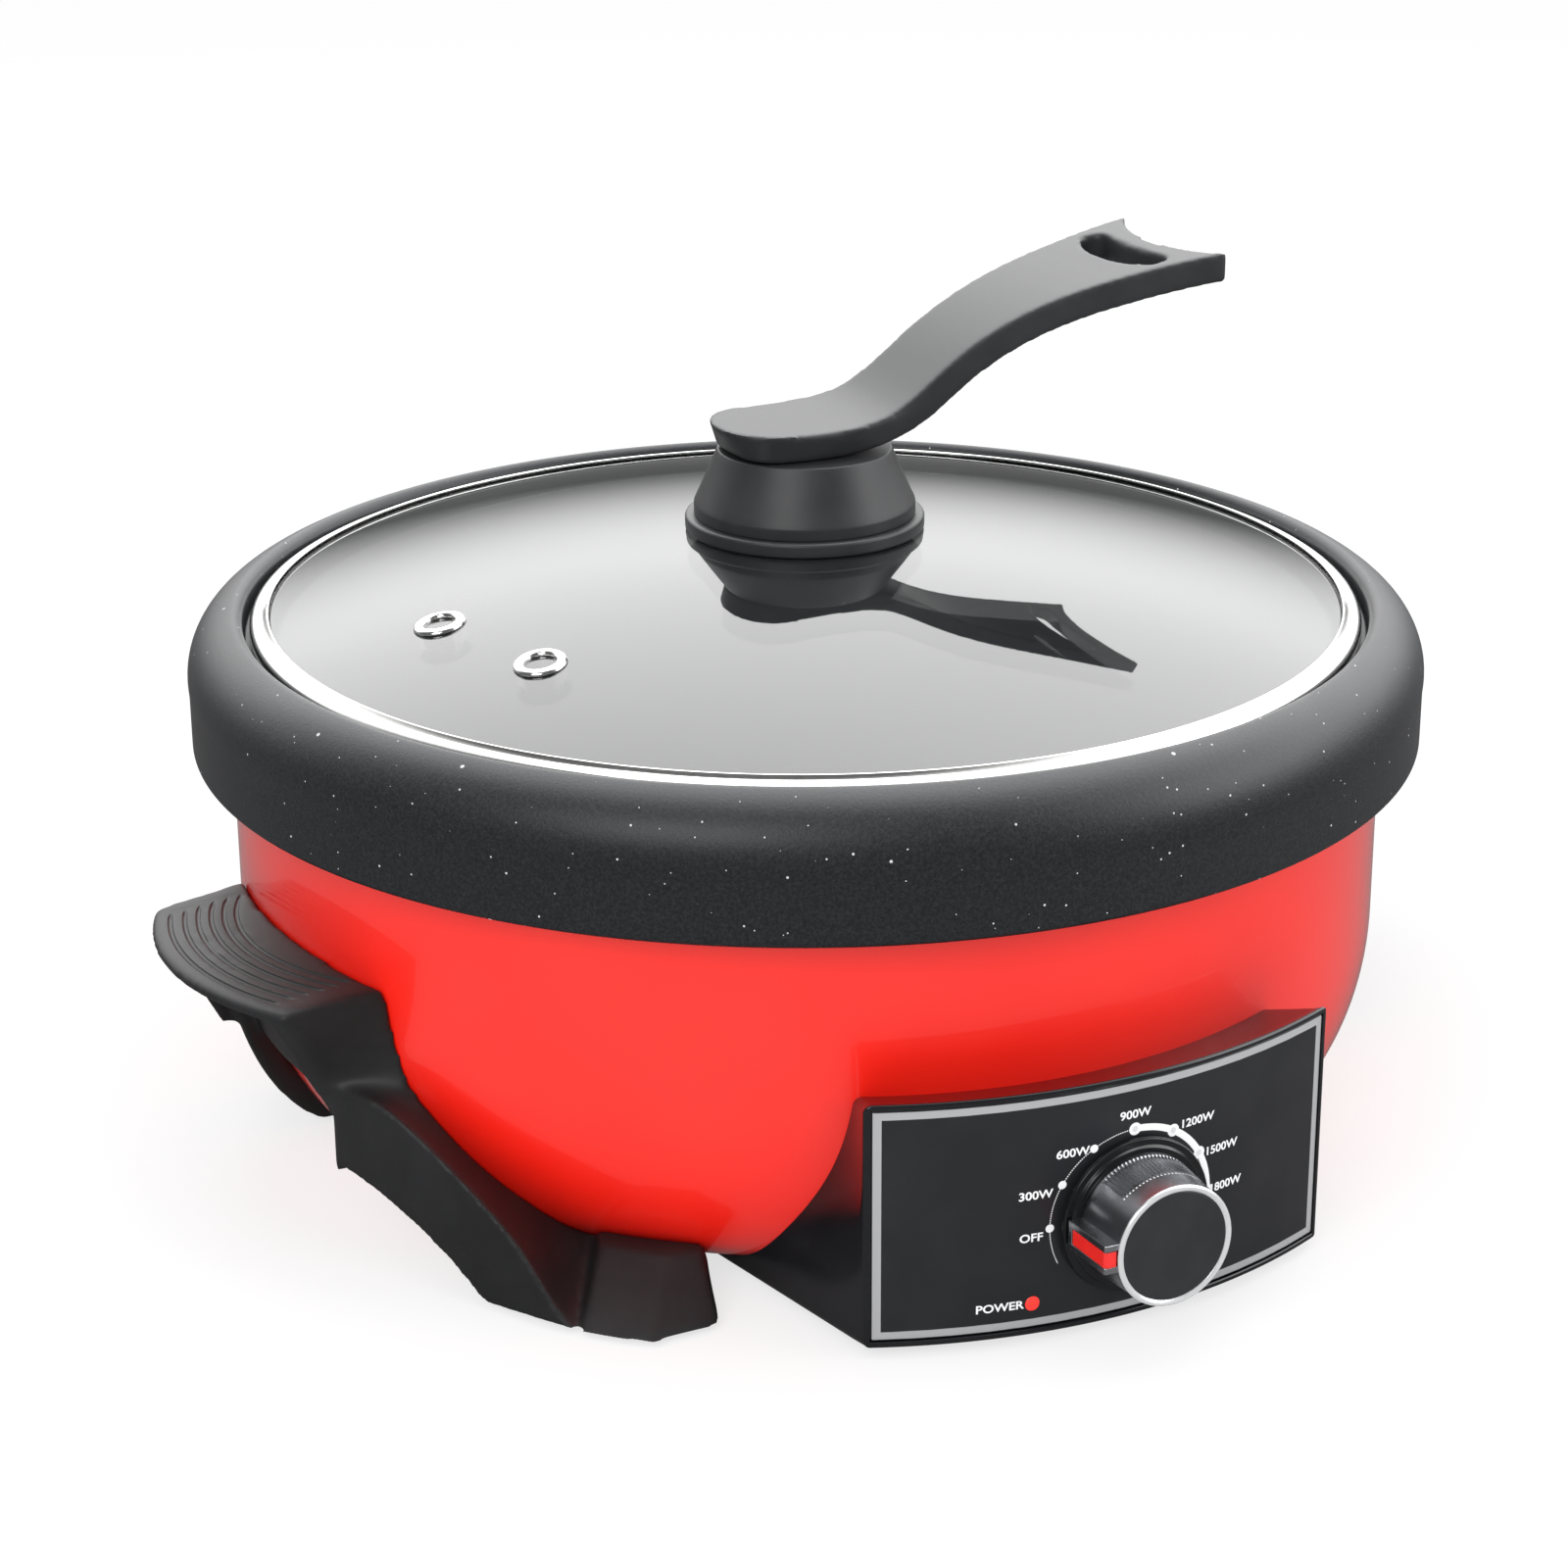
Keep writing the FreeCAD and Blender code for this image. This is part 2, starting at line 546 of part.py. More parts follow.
def knob_trim_ring():
    """Bright ring round the knob's face."""
    base = GRIP_END
    return knob_turned((15.1, base), (KNOB_RADIUS - 0.2, base), (KNOB_RADIUS, base + 0.4),
                       ((KNOB_RADIUS - 0.5, base + 0.9), (KNOB_RADIUS - 1.2, base + 0.8)), (15.1, base + 0.5))


def knob_cap():
    """Black face of the knob."""
    base = GRIP_END - 1.55
    return knob_turned((0, base), (15.05, base), (15.05, base + 1.9), ((14.9, base + 2.05), (14.5, base + 2.1)),
                       (0, base + 2.25))


def switch_shaft():
    """Steel D-shaft from the regulator into the knob."""
    shaft = rod(3.0, V(KNOB_X, FACE_Y + 8.0, KNOB_Z), V(KNOB_X, FACE_Y - 17.0, KNOB_Z))
    flat = Part.makeBox(8, 12, 3, V(KNOB_X - 4, FACE_Y - 18.0, KNOB_Z + 1.8))
    return shaft.cut(flat)


# ---- behind the panel --------------------------------------------------------------------------
def power_regulator():
    """Rotary power regulator with its threaded bush and push-on tabs."""
    back = FACE_Y + 8.0
    body = slab(KNOB_Z - 20, KNOB_Z + 20, (KNOB_X - 21, back), (KNOB_X + 21, back),
                (KNOB_X + 21, back + 24), (KNOB_X - 21, back + 24))
    body = body.makeFillet(2.0, body.Edges)
    bush = rod(5.0, V(KNOB_X, back + 1, KNOB_Z), V(KNOB_X, FACE_Y - 0.3, KNOB_Z))
    tabs = [slab(KNOB_Z + z, KNOB_Z + z + 6.3, (KNOB_X + x, back + 23), (KNOB_X + x + 0.8, back + 23),
                 (KNOB_X + x + 0.8, back + 32), (KNOB_X + x, back + 32)) for x in (-14, 0, 13) for z in (-14, 8)]
    solid = union([body, bush] + tabs)
    return solid.cut(rod(3.06, V(KNOB_X, FACE_Y + 8.3, KNOB_Z), V(KNOB_X, FACE_Y - 5, KNOB_Z)))


def switch_nut():
    """Hexagon nut that holds the regulator to the plate from inside."""
    flats = 7.0 / cos(pi / 6)
    corners = [(KNOB_X + flats * cos(k * pi / 3), KNOB_Z + flats * sin(k * pi / 3)) for k in range(6)]
    nut = wire_of(lambda p: V(p[0], FACE_Y + 2.35, p[1]), corners[0], corners[1:])
    nut = Part.Face(nut).extrude(V(0, 2.6, 0))
    return nut.cut(rod(5.0, V(KNOB_X, FACE_Y, KNOB_Z), V(KNOB_X, FACE_Y + 8, KNOB_Z)))


def indicator_lens():
    """Red lens of the power lamp."""
    front = panel_y(LAMP_X, PANEL_RADIUS)
    lens = turned((0, -3.0), (3.4, -3.0), (3.4, -2.25), (2.35, -2.25), (2.35, 0.2), (2.0, 0.55), (1.2, 0.8),
                  (0, 0.9))
    lens.rotate(ORIGIN, V(1, 0, 0), 90)
    lens.translate(V(LAMP_X, front + 0.55, LAMP_Z))
    return lens


def indicator_lamp():
    """Neon lamp in its sleeve behind the lens."""
    back = panel_y(LAMP_X, PANEL_RADIUS) + 3.6
    return rod(2.3, V(LAMP_X, back, LAMP_Z), V(LAMP_X, back + 14, LAMP_Z))


# ---- side frames: handle, two legs and their feet, one moulding each ---------------------------
WING_CENTRE_X = -114.2        # centre of the handle's round edge, in the frame's own half
WING_RADIUS = 86.8
GROOVES = (81.4, 77.4, 73.7, 70.1, 66.5, 63.1)
WEB_CENTRE = (336.3, 140.5)   # the leg's outer wall is nearly flat: a slice of a very wide cylinder
WEB_RADIUS = 543.6
LEG_START = 41.0              # the leg's outer wall runs from here ...
LEG_END = 117.2               # ... to here, measured from the frame's middle plane
CREST_Z = 52.6
REAR_REACH = 8.0              # how far the rear leg stands off the bowl
REAR_LEG_START = 34.0
REAR_LEG_END = 68.0


def wing_top_z(radius):
    """Top face of the hand rest, which falls a little towards its round edge."""
    return 77.7 - (radius - 52.0) * 0.07


def between(shape, x_low, x_high, y_low, y_high):
    """The part of a shape between upright planes."""
    return shape.common(Part.makeBox(x_high - x_low, y_high - y_low, 200, V(x_low, y_low, -20)))


def wing():
    """Hand rest: a thin grooved plate with a strong end at each side and a wall against the bowl."""
    r = WING_RADIUS
    plate = turned((30, wing_top_z(30)), (r - 2.6, wing_top_z(r - 2.6)),
                   ((r - 0.8, wing_top_z(r) - 0.7), (r, wing_top_z(r) - 2.0)),
                   ((r - 0.4, wing_top_z(r) - 3.0), (r - 1.3, wing_top_z(r) - 3.5)),
                   (r - 6.0, 70.9), (r - 12.0, 70.2), (30, 70.2))
    ends = turned((30, 73.0), (r - 1.3, 73.0), (r - 1.3, wing_top_z(r) - 3.5), (r - 12.2, 48.6), (r - 17.2, 38.0),
                  (30, 38.0))
    ends = between(ends, -100, -20, -60, 60).cut(Part.makeBox(200, 73, 100, V(-150, -36.5, 0)))
    plate = between(plate, -100, -20, -60, 60)
    body = union([plate, ends])
    body.translate(V(WING_CENTRE_X, 0, 0))
    wall = between(bowl_block(-3.2, 72.0), -190, -140, -42, 42).cut(Part.makeBox(100, 200, 60, V(-200, -100, -24)))
    return union([body, wall])


def wing_grooves():
    """Six arched grooves in the hand rest."""
    rings = [Part.makeTorus(r, 0.9, V(WING_CENTRE_X, 0, wing_top_z(r) + 0.25), UP) for r in GROOVES]
    return [between(ring, -210, -140, -38.5, 38.5) for ring in rings]


def web_point(y, z):
    """Point on the leg's outer wall, in front of the frame's middle plane (y is positive here)."""
    centre_x, centre_y = WEB_CENTRE
    return V(centre_x - sqrt(WEB_RADIUS ** 2 - (centre_y + y) ** 2), -y, z)


def crest(y):
    """Upper edge of the leg's outer wall: level at the handle, steep at the foot."""
    return web_point(y, CREST_Z - 51.8 * ((y - LEG_START) / (LEG_END - LEG_START)) ** 2)


def bowl_point(y, z):
    """Point on the bowl, or straight below it near the table."""
    r = bowl_radius(max(z, 8.0))
    return V(-sqrt(r ** 2 - y ** 2), -y, z)


def front_face_cut():
    """Space in front of the frame's front face, which twists from the handle down to the foot."""
    roots = [(40.0, 92.0), (44.5, 79.0), (48.0, 71.0), (49.7, 63.5), (52.0, 56.5), (58.0, 46.8), (65.6, 37.8),
             (73.2, 28.8), (80.2, 20.2), (86.6, 11.0), (92.0, 0.0)]
    rims = [V(-189.6, -43.6, 90.0), V(-189.0, -44.0, 76.0), V(-185.5, -44.0, 67.5), V(-180.2, -43.0, 58.5)]
    rims += [crest(y) for y in (42.5, 56.0, 71.5, 86.5, 101.5, LEG_END, 133.0)]
    forward = V(16, -90, 50)
    sections = []
    for (y, z), rim in zip(roots, rims):
        root = bowl_point(y, z)
        ruling = (rim - root).normalize()
        near, far = root - ruling * 14.0, rim + ruling * 16.0
        sections.append(Part.makePolygon([near, far, far + forward, near + forward, near]))
    return Part.makeLoft(sections, True, False)


def leg():
    """Front leg: an arched wall hugging the bowl."""
    wall = slab(FOOT_Z, 58.0, (-114, -LEG_START), web_start(), (web_mid(), web_end()), (-114, -LEG_END))
    arch = wire_of(lambda p: V(-100, -p[0], p[1]), (20.0, 24.6),
                   [(LEG_START + 0.4, 24.6), ((42.6, 26.6), (45.5, 26.9)), ((66.3, 18.9), (84.4, 6.0)),
                    (91.0, -0.2), (91.0, -5.0), (20.0, -5.0)])
    return wall.cut(Part.Face(arch).extrude(V(-120, 0, 0)))


def web_start():
    return (web_point(LEG_START, 0).x, -LEG_START)


def web_mid():
    return (web_point(78.0, 0).x, -78.0)


def web_end():
    return (web_point(LEG_END, 0).x, -LEG_END)


def foot_block():
    """Broad foot at the leg's end: its faces lean in from the table up to the bowl."""
    low = [(-142.4, -117.0), (-129.6, -131.8), (-109.2, -132.6), (-96.0, -102.0), (-126.0, -84.0)]
    high = [(-126.4, -99.2), (-114.2, -114.2), (-105.6, -117.0), (-96.0, -102.0), (-118.0, -84.0)]
    rings = [wire_of(lambda p: V(p[0], p[1], z), ring[0], ring[1:]) for z, ring in ((FOOT_Z, low), (15.5, high))]
    block = Part.makeLoft(rings, True, True)
    fold = long_edges(block, lambda p: 5 < p.z < 12 and p.y < -120 and p.x < -118)
    return block.makeFillet(3.5, fold)


def rear_leg():
    """Rear leg: a plain wall against the bowl, straight down from the hand rest to its own foot."""
    wall = between(bowl_block(-REAR_REACH, 60.0), -200, -100, REAR_LEG_START, REAR_LEG_END)
    return wall.cut(Part.makeBox(200, 200, 50, V(-250, -50, FOOT_Z - 50.0)))


def side_frame():
    """Left frame: handle and legs about its own middle plane, then turned towards the front.

    The right frame is the same moulding, turned by half a turn.
    """
    front = front_face_cut()
    whole = union([wing(), leg(), rear_leg()])
    whole = whole.cut(front).cut(mirrored_y(front))
    whole = union([whole, foot_block()])
    whole = whole.cut(bowl_block(-0.02, 120.0)).cut(rod(BASE_R + 5, V(0, 0, -5), V(0, 0, SHELL_LOW_Z + 0.5)))
    whole = about_z(largest(largest(whole).cut(wing_grooves())), HANDLE_TURN)
    return whole.cut([rod(1.95, start, end) for start, end in frame_screw_lines()])


FOOT_PADS = [(-125.0, -113.0, 8.0), (-134.0, 51.0, 6.0)]     # x, y and radius under the left frame


def foot_pads():
    """Rubber pads under the four feet."""
    pads = []
    for x, y, radius in FOOT_PADS:
        pad = rod(radius, V(x, y, 0), V(x, y, FOOT_Z))
        pads += [about_z(pad, HANDLE_TURN), about_z(pad, HANDLE_TURN + 180.0)]
    return group(pads)


# ---- heating parts -----------------------------------------------------------------------------
def heating_plate():
    """Cast plate under the pot, with a groove for the element and a hole for the sensor."""
    top = PLATE_TOP_Z
    plate = turned((17.0, top), (PLATE_RADIUS - 1.5, top), (PLATE_RADIUS, top - 1.5), (PLATE_RADIUS, top - 6.0),
                   (PLATE_RADIUS - 6, top - 8.0), (84.0, top - 8.0), (84.0, top - 10.0), (64.0, top - 10.0),
                   (64.0, top - 8.0), (24.0, top - 8.0), (22.0, top - 12.0), (17.0, top - 12.0))
    return plate.cut(Part.makeTorus(74.0, 4.15, V(0, 0, top - 11.0), UP))


def heating_element():
    """Tubular element: one open ring with both cold ends bent down."""
    z, r, t = PLATE_TOP_Z - 11.0, 74.0, 4.0
    ring = Part.makeTorus(r, t, V(0, 0, z), UP)
    gap = slab(z - 10, z + 10, (r - 12, -12), (r + 12, -12), (r + 12, 12), (r - 12, 12))
    ends = []
    for side in (-1, 1):
        angle = side * degrees(asin(12.0 / r))
        foot = polar(r, angle, z)
        ends.append(Part.makeSphere(t + 0.1, foot))
        ends.append(rod(t, foot, foot - V(0, 0, 10)))
        ends.append(rod(1.6, foot - V(0, 0, 9), foot - V(0, 0, 17)))
    return about_z(union([ring.cut(gap)] + ends), -90)


def heat_shield():
    """Pressed aluminium dish between the element and the base."""
    shield = turned((20, 15.6), (88, 15.6), (104, 26.0), (112, 26.0), (112, 27.0), (103.4, 27.0), (87.6, 16.6),
                    (20, 16.6))
    passes = [rod(6.5, polar(74.0, a, 0), polar(74.0, a, 40)) for a in (-99.3, -80.7)]
    screws = [rod(2.4, V(x, y, 0), V(x, y, 40)) for x, y in STAND_OFFS]
    return shield.cut(passes + screws)


def stand_offs():
    """Three posts that carry the plate on the base."""
    posts = []
    for x, y in STAND_OFFS:
        posts.append(tube(4.5, 1.9, V(x, y, 16.6), V(x, y, PLATE_TOP_Z - 8.0)))
        posts.append(tube(4.5, 1.9, V(x, y, 14.0), V(x, y, 15.6)))
    return group(posts)


# ---- temperature sensor ------------------------------------------------------------------------
def sensor_cup():
    """Spring-loaded cup that the pot's bottom presses on."""
    top = PLATE_TOP_Z
    return turned((0, top), (10.0, top), ((10.9, top - 0.4), (11.2, top - 1.4)), (11.2, top - 9.0),
                  (13.2, top - 9.0), (13.2, top - 10.2), (10.2, top - 10.2), (10.2, top - 1.6),
                  (3.4, top - 1.6), (3.4, top - 12.0), (0, top - 12.0))


def sensor_spring():
    """Coil spring under the cup: ten half turns, each one leaning up to the next."""
    radius, wire, low, high, halves = 7.2, 0.7, 20.95, PLATE_TOP_Z - 2.35, 10
    rise = (high - low) / halves
    lean = degrees(asin(rise / 2.0 / radius))
    coil = []
    for i in range(halves):
        half = Part.makeTorus(radius, wire, ORIGIN, UP, -180, 180, 180)
        half.rotate(ORIGIN, V(0, 1, 0), lean)
        half.rotate(ORIGIN, UP, 180.0 * i)
        half.translate(V(0, 0, low + rise * (i + 0.5)))
        coil.append(half)
    return union(coil)


def sensor_bracket():
    """Pressed cage that hangs from the plate and holds the spring and the cup's collar."""
    top = PLATE_TOP_Z - 12.0
    return turned((4.2, 18.6), (15.6, 18.6), (15.6, top - 1.2), (20.0, top - 1.2), (20.0, top),
                  (14.6, top), (14.6, 20.2), (4.2, 20.2))


def thermal_fuse():
    """One-shot fuse in its sleeve, clipped under the plate."""
    z = PLATE_TOP_Z - 8.0 - 3.2
    return rod(3.1, V(34, -12, z), V(34, 14, z))


# ---- mains side --------------------------------------------------------------------------------
GLAND_Z = 19.0
OUTLET_BACK_Y = 165.0


def cord_outlet():
    """Small moulded cover where the mains cord would come out at the back."""
    block = slab(7.0, 31.0, (-17, 120), (-17, OUTLET_BACK_Y - 6),
                 ((-15.2, OUTLET_BACK_Y - 1.8), (-11, OUTLET_BACK_Y)), (11, OUTLET_BACK_Y),
                 ((15.2, OUTLET_BACK_Y - 1.8), (17, OUTLET_BACK_Y - 6)), (17, 120))
    block = block.cut(bowl_block(0.0, 120.0))
    return largest(block.cut(rod(6.5, V(0, 100, GLAND_Z), V(0, 200, GLAND_Z))))


def cord_gland():
    """Rubber bush in the outlet, open for a round mains cord."""
    bush = turned((3.6, -10.0), (6.45, -10.0), (6.45, 0.0), (8.6, 0.0), (8.6, 1.2), (7.6, 2.0), (3.6, 2.0))
    bush.rotate(ORIGIN, V(1, 0, 0), -90)
    bush.translate(V(0, OUTLET_BACK_Y + 0.02, GLAND_Z))
    return bush


def terminal_block():
    """Three-way screw block inside the base."""
    body = Part.makeBox(30, 16, 9.4, V(-15, 84, 5.6))
    for x in (-9.0, 0.0, 9.0):
        body = body.cut(rod(2.6, V(x, 92, 8.6), V(x, 92, 30.0)))
    return body


# ---- screws ------------------------------------------------------------------------------------
FRAME_SCREW_Z = 64.5


def frame_screw_lines():
    """Start and end of the four screws that hold the side frames to the shell, from inside."""
    lines = []
    for angle in (180.0 - 13.5, 180.0 + 13.5):
        angle += HANDLE_TURN
        start, end = polar(SHELL_RADIUS - 4.0, angle, FRAME_SCREW_Z), polar(175.0, angle, FRAME_SCREW_Z)
        lines.append((start, end))
        lines.append((V(-start.x, -start.y, start.z), V(-end.x, -end.y, end.z)))
    return lines


def frame_screws():
    """Four pan-head screws from inside the shell into the ends of the hand rests."""
    screws = []
    for start, end in frame_screw_lines():
        along = (end - start).normalize()
        seat = start + along * 2.5
        head = Part.makeCone(2.6, 3.4, 2.0, seat - along * 2.0, along)
        screws.append(union([head, rod(1.9, seat - along, end)]))
    return group(screws)


def base_screws():
    """Three long screws from below, through the base's bosses and the posts."""
    screws = []
    for x, y in STAND_OFFS:
        head = Part.makeCone(2.8, 3.6, 1.6, V(x, y, 3.35), UP)
        screws.append(union([head, rod(1.85, V(x, y, 4.0), V(x, y, PLATE_TOP_Z - 10.0))]))
    return group(screws)


def main():
    frame = side_frame()
    pieces = {
        "inner_pot": inner_pot(),
        "lid_glass": lid_glass(),
        "lid_rim_ring": lid_rim_ring(),
        "vent_grommets": vent_grommets(),
        "lid_knob_gasket": lid_knob_gasket(),
        "lid_knob_flange": lid_knob_flange(),
        "lid_knob_neck": lid_knob_neck(),
        "lid_handle": lid_handle(),
        "lid_screw": lid_screw(),
        "lid_cup_washer": lid_cup_washer(),
        "outer_shell": outer_shell(),
        "shell_top_ring": shell_top_ring(),
        "base_cover": base_cover(),
        "control_housing": control_housing(),
        "control_faceplate": control_faceplate(),
        "knob_skirt": knob_skirt(),
        "knob_barrel": knob_barrel(),
        "knob_pointer": knob_pointer(),
        "knob_trim_ring": knob_trim_ring(),
        "knob_cap": knob_cap(),
        "switch_shaft": switch_shaft(),
        "power_regulator": power_regulator(),
        "switch_nut": switch_nut(),
        "indicator_lens": indicator_lens(),
        "indicator_lamp": indicator_lamp(),
        "left_side_frame": frame,
        "right_side_frame": about_z(frame, 180.0),
        "foot_pads": foot_pads(),
        "heating_plate": heating_plate(),
        "heating_element": heating_element(),
        "heat_shield": heat_shield(),
        "stand_offs": stand_offs(),
        "sensor_cup": sensor_cup(),
        "sensor_spring": sensor_spring(),
        "sensor_bracket": sensor_bracket(),
        "thermal_fuse": thermal_fuse(),
        "cord_outlet": cord_outlet(),
        "cord_gland": cord_gland(),
        "terminal_block": terminal_block(),
        "frame_screws": frame_screws(),
        "base_screws": base_screws(),
    }
    for node, shape in pieces.items():
        export(shape, node)


main()
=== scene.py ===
# %% [markdown]
# # An electric hot pot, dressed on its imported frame
#
# A hot pot of this kind is a cast pot that hangs in a bowl-shaped painted shell, carried by two
# moulded side frames. A curved panel with one dial sits at the front and a domed glass lid on top.
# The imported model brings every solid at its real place, in metres. This script keeps those places and
# gives each visible piece its finished surface. The lengths here are written in millimetres about the
# pot's own axis, because that is how a maker would draw a round object, and become metres at the end.

# %% The frame
from math import cos, pi, radians, sin, sqrt
import bmesh
import bpy
import numpy as np
from mathutils import Euler, Matrix, Vector


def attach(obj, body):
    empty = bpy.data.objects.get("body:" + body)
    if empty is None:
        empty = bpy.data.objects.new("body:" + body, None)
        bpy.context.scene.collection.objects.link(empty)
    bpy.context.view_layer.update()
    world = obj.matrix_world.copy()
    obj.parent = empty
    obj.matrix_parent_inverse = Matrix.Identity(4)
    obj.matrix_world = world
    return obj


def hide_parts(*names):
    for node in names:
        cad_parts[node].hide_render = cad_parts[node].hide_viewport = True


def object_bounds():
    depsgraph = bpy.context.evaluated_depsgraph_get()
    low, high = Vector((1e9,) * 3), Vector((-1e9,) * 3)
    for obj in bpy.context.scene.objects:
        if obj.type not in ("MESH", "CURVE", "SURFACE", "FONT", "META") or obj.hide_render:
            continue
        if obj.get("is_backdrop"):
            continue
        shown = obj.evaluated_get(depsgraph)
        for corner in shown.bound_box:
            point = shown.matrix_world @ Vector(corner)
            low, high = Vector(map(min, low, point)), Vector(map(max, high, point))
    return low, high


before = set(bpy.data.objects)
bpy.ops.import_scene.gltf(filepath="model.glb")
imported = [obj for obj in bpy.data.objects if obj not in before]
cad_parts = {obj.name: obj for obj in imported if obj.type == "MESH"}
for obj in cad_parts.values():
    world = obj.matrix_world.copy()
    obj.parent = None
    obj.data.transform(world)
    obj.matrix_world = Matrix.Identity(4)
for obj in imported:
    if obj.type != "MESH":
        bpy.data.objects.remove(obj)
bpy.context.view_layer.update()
AXIS = np.array([0.0, 15.3, 0.0])          # the pot's axis stands 15.3 mm behind the frame's origin

# %% [markdown]
# ## The camera
#
# The camera comes first, because everything else is judged through it. It is a long lens from the
# front left, a little above the rim, so that the lid is a flat ellipse and the panel turns away to
# the right. A long lens keeps the far rim nearly as large as the near one, as product pictures do.

# %% Camera
def add_object(name, data):
    """Object that shows a mesh, a word, a lamp or a camera in the scene."""
    made = bpy.data.objects.new(name, data)
    bpy.context.scene.collection.objects.link(made)
    return made


LENS, SENSOR = 82.73, 36.0                       # millimetres
STAND = (-0.4408, -0.8815, 0.4635)
LOOK_DOWN, LOOK_RIGHT, ROLL = 20.58, 25.81, -0.31          # degrees

camera_data = bpy.data.cameras.new("camera")
camera_data.lens = LENS
camera_data.sensor_width = SENSOR
camera_data.clip_end = 50.0
camera = add_object("camera", camera_data)
bpy.context.scene.camera = camera
camera.location = STAND
aim = Euler((radians(90.0 - LOOK_DOWN), 0.0, radians(-LOOK_RIGHT))).to_matrix()
camera.rotation_euler = (aim @ Matrix.Rotation(radians(ROLL), 3, "Z")).to_euler()

# %% [markdown]
# ## Skins over grids
#
# Every new surface below is a grid of points: one parameter runs along the rows and one along the
# columns, and each four neighbours get one face. Working the whole grid out as one array is short and
# exact, and it keeps the faces even, so that highlights run over them without kinks. Where a row has
# shrunk to one point, as at the middle of a lid, the doubles are merged and the pole is closed.

# %% Grid to mesh
def grid_faces(rows, columns, first=0, wrap_rows=False):
    """Four-sided faces over a grid numbered row by row from first, whose columns close into rings."""
    index = first + np.arange(rows * columns).reshape(rows, columns)
    if wrap_rows:
        index = np.vstack([index, index[:1]])
    index = np.hstack([index, index[:, :1]])
    corners = [index[:-1, :-1], index[:-1, 1:], index[1:, 1:], index[1:, :-1]]
    return np.stack(corners, -1).reshape(-1, 4).tolist()


def skin(name, points, wrap_rows=False, sharp=38.0):
    """Mesh over a (rows, columns, 3) array of points in millimetres about the pot's axis."""
    faces = grid_faces(*points.shape[:2], 0, wrap_rows)
    return finished_mesh(name, points.reshape(-1, 3), faces, sharp)


def smooth(data, sharp):
    """Shade a mesh smooth, apart from edges that turn by more than sharp degrees."""
    data.polygons.foreach_set("use_smooth", np.ones(len(data.polygons), bool))
    data.set_sharp_from_angle(angle=radians(sharp))


def finished_mesh(name, points, faces, sharp=38.0, turn_out=True):
    """Mesh object from points in millimetres, without doubles and smooth between its sharp edges."""
    data = bpy.data.meshes.new(name)
    data.from_pydata(((points + AXIS) / 1000.0).tolist(), [], faces)
    work = bmesh.new()
    work.from_mesh(data)
    bmesh.ops.remove_doubles(work, verts=work.verts, dist=2e-6)
    if turn_out:
        bmesh.ops.recalc_face_normals(work, faces=work.faces)
    work.to_mesh(data)
    work.free()
    smooth(data, sharp)
    return add_object(name, data)


def coat(data, finish):
    """Make a finish the one material of a mesh."""
    data.materials.clear()
    data.materials.append(finish.material)


def wear(piece, finish, body, slot, *nodes):
    """Give a piece its finish and its body, and hide the CAD nodes it stands for. The slot is not used."""
    coat(piece.data, finish)
    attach(piece, body)
    if nodes:
        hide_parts(*nodes)
    print(piece.name, len(piece.data.polygons), "faces")


# %% [markdown]
# ## Outlines with soft corners
#
# Nothing that is cast, rolled or moulded has a knife edge. An outline is written as a maker dimensions
# it, with straight steps and arcs, and then softened: it is walked in tiny steps, and each point
# becomes the weighted mean of its neighbours, with a bell curve for the weights. Straight stretches
# stay as they are and corners turn into small radii. The walk is then thinned, keeping more points
# where the line turns and fewer where it is straight.

# %% Outline helpers
def steps_of(start, *steps, count=24):
    """Corner points from lines (a point) and arcs (a pair: a point on the arc, its end), as (n, 2)."""
    line = [np.array(start, float)]
    for step in steps:
        if isinstance(step[0], tuple):
            line.extend(arc(line[-1], np.array(step[0], float), np.array(step[1], float), count))
        else:
            line.append(np.array(step, float))
    return np.array(line)


def arc(a, b, c, count):
    """Points on the circle through a, b and c, from just after a to c."""
    (ax, ay), (bx, by), (cx, cy) = a, b, c
    d = 2 * (ax * (by - cy) + bx * (cy - ay) + cx * (ay - by))
    aa, bb, cc = ax ** 2 + ay ** 2, bx ** 2 + by ** 2, cx ** 2 + cy ** 2
    ux = (aa * (by - cy) + bb * (cy - ay) + cc * (ay - by)) / d
    uy = (aa * (cx - bx) + bb * (ax - cx) + cc * (bx - ax)) / d
    first, middle, last = (np.arctan2(p[1] - uy, p[0] - ux) for p in (a, b, c))
    span = (last - first) % (2 * pi)
    if (middle - first) % (2 * pi) > span:
        span -= 2 * pi
    angle = first + span * np.arange(1, count + 1) / count
    radius = sqrt((ax - ux) ** 2 + (ay - uy) ** 2)
    return list(np.stack([ux + radius * np.cos(angle), uy + radius * np.sin(angle)], -1))


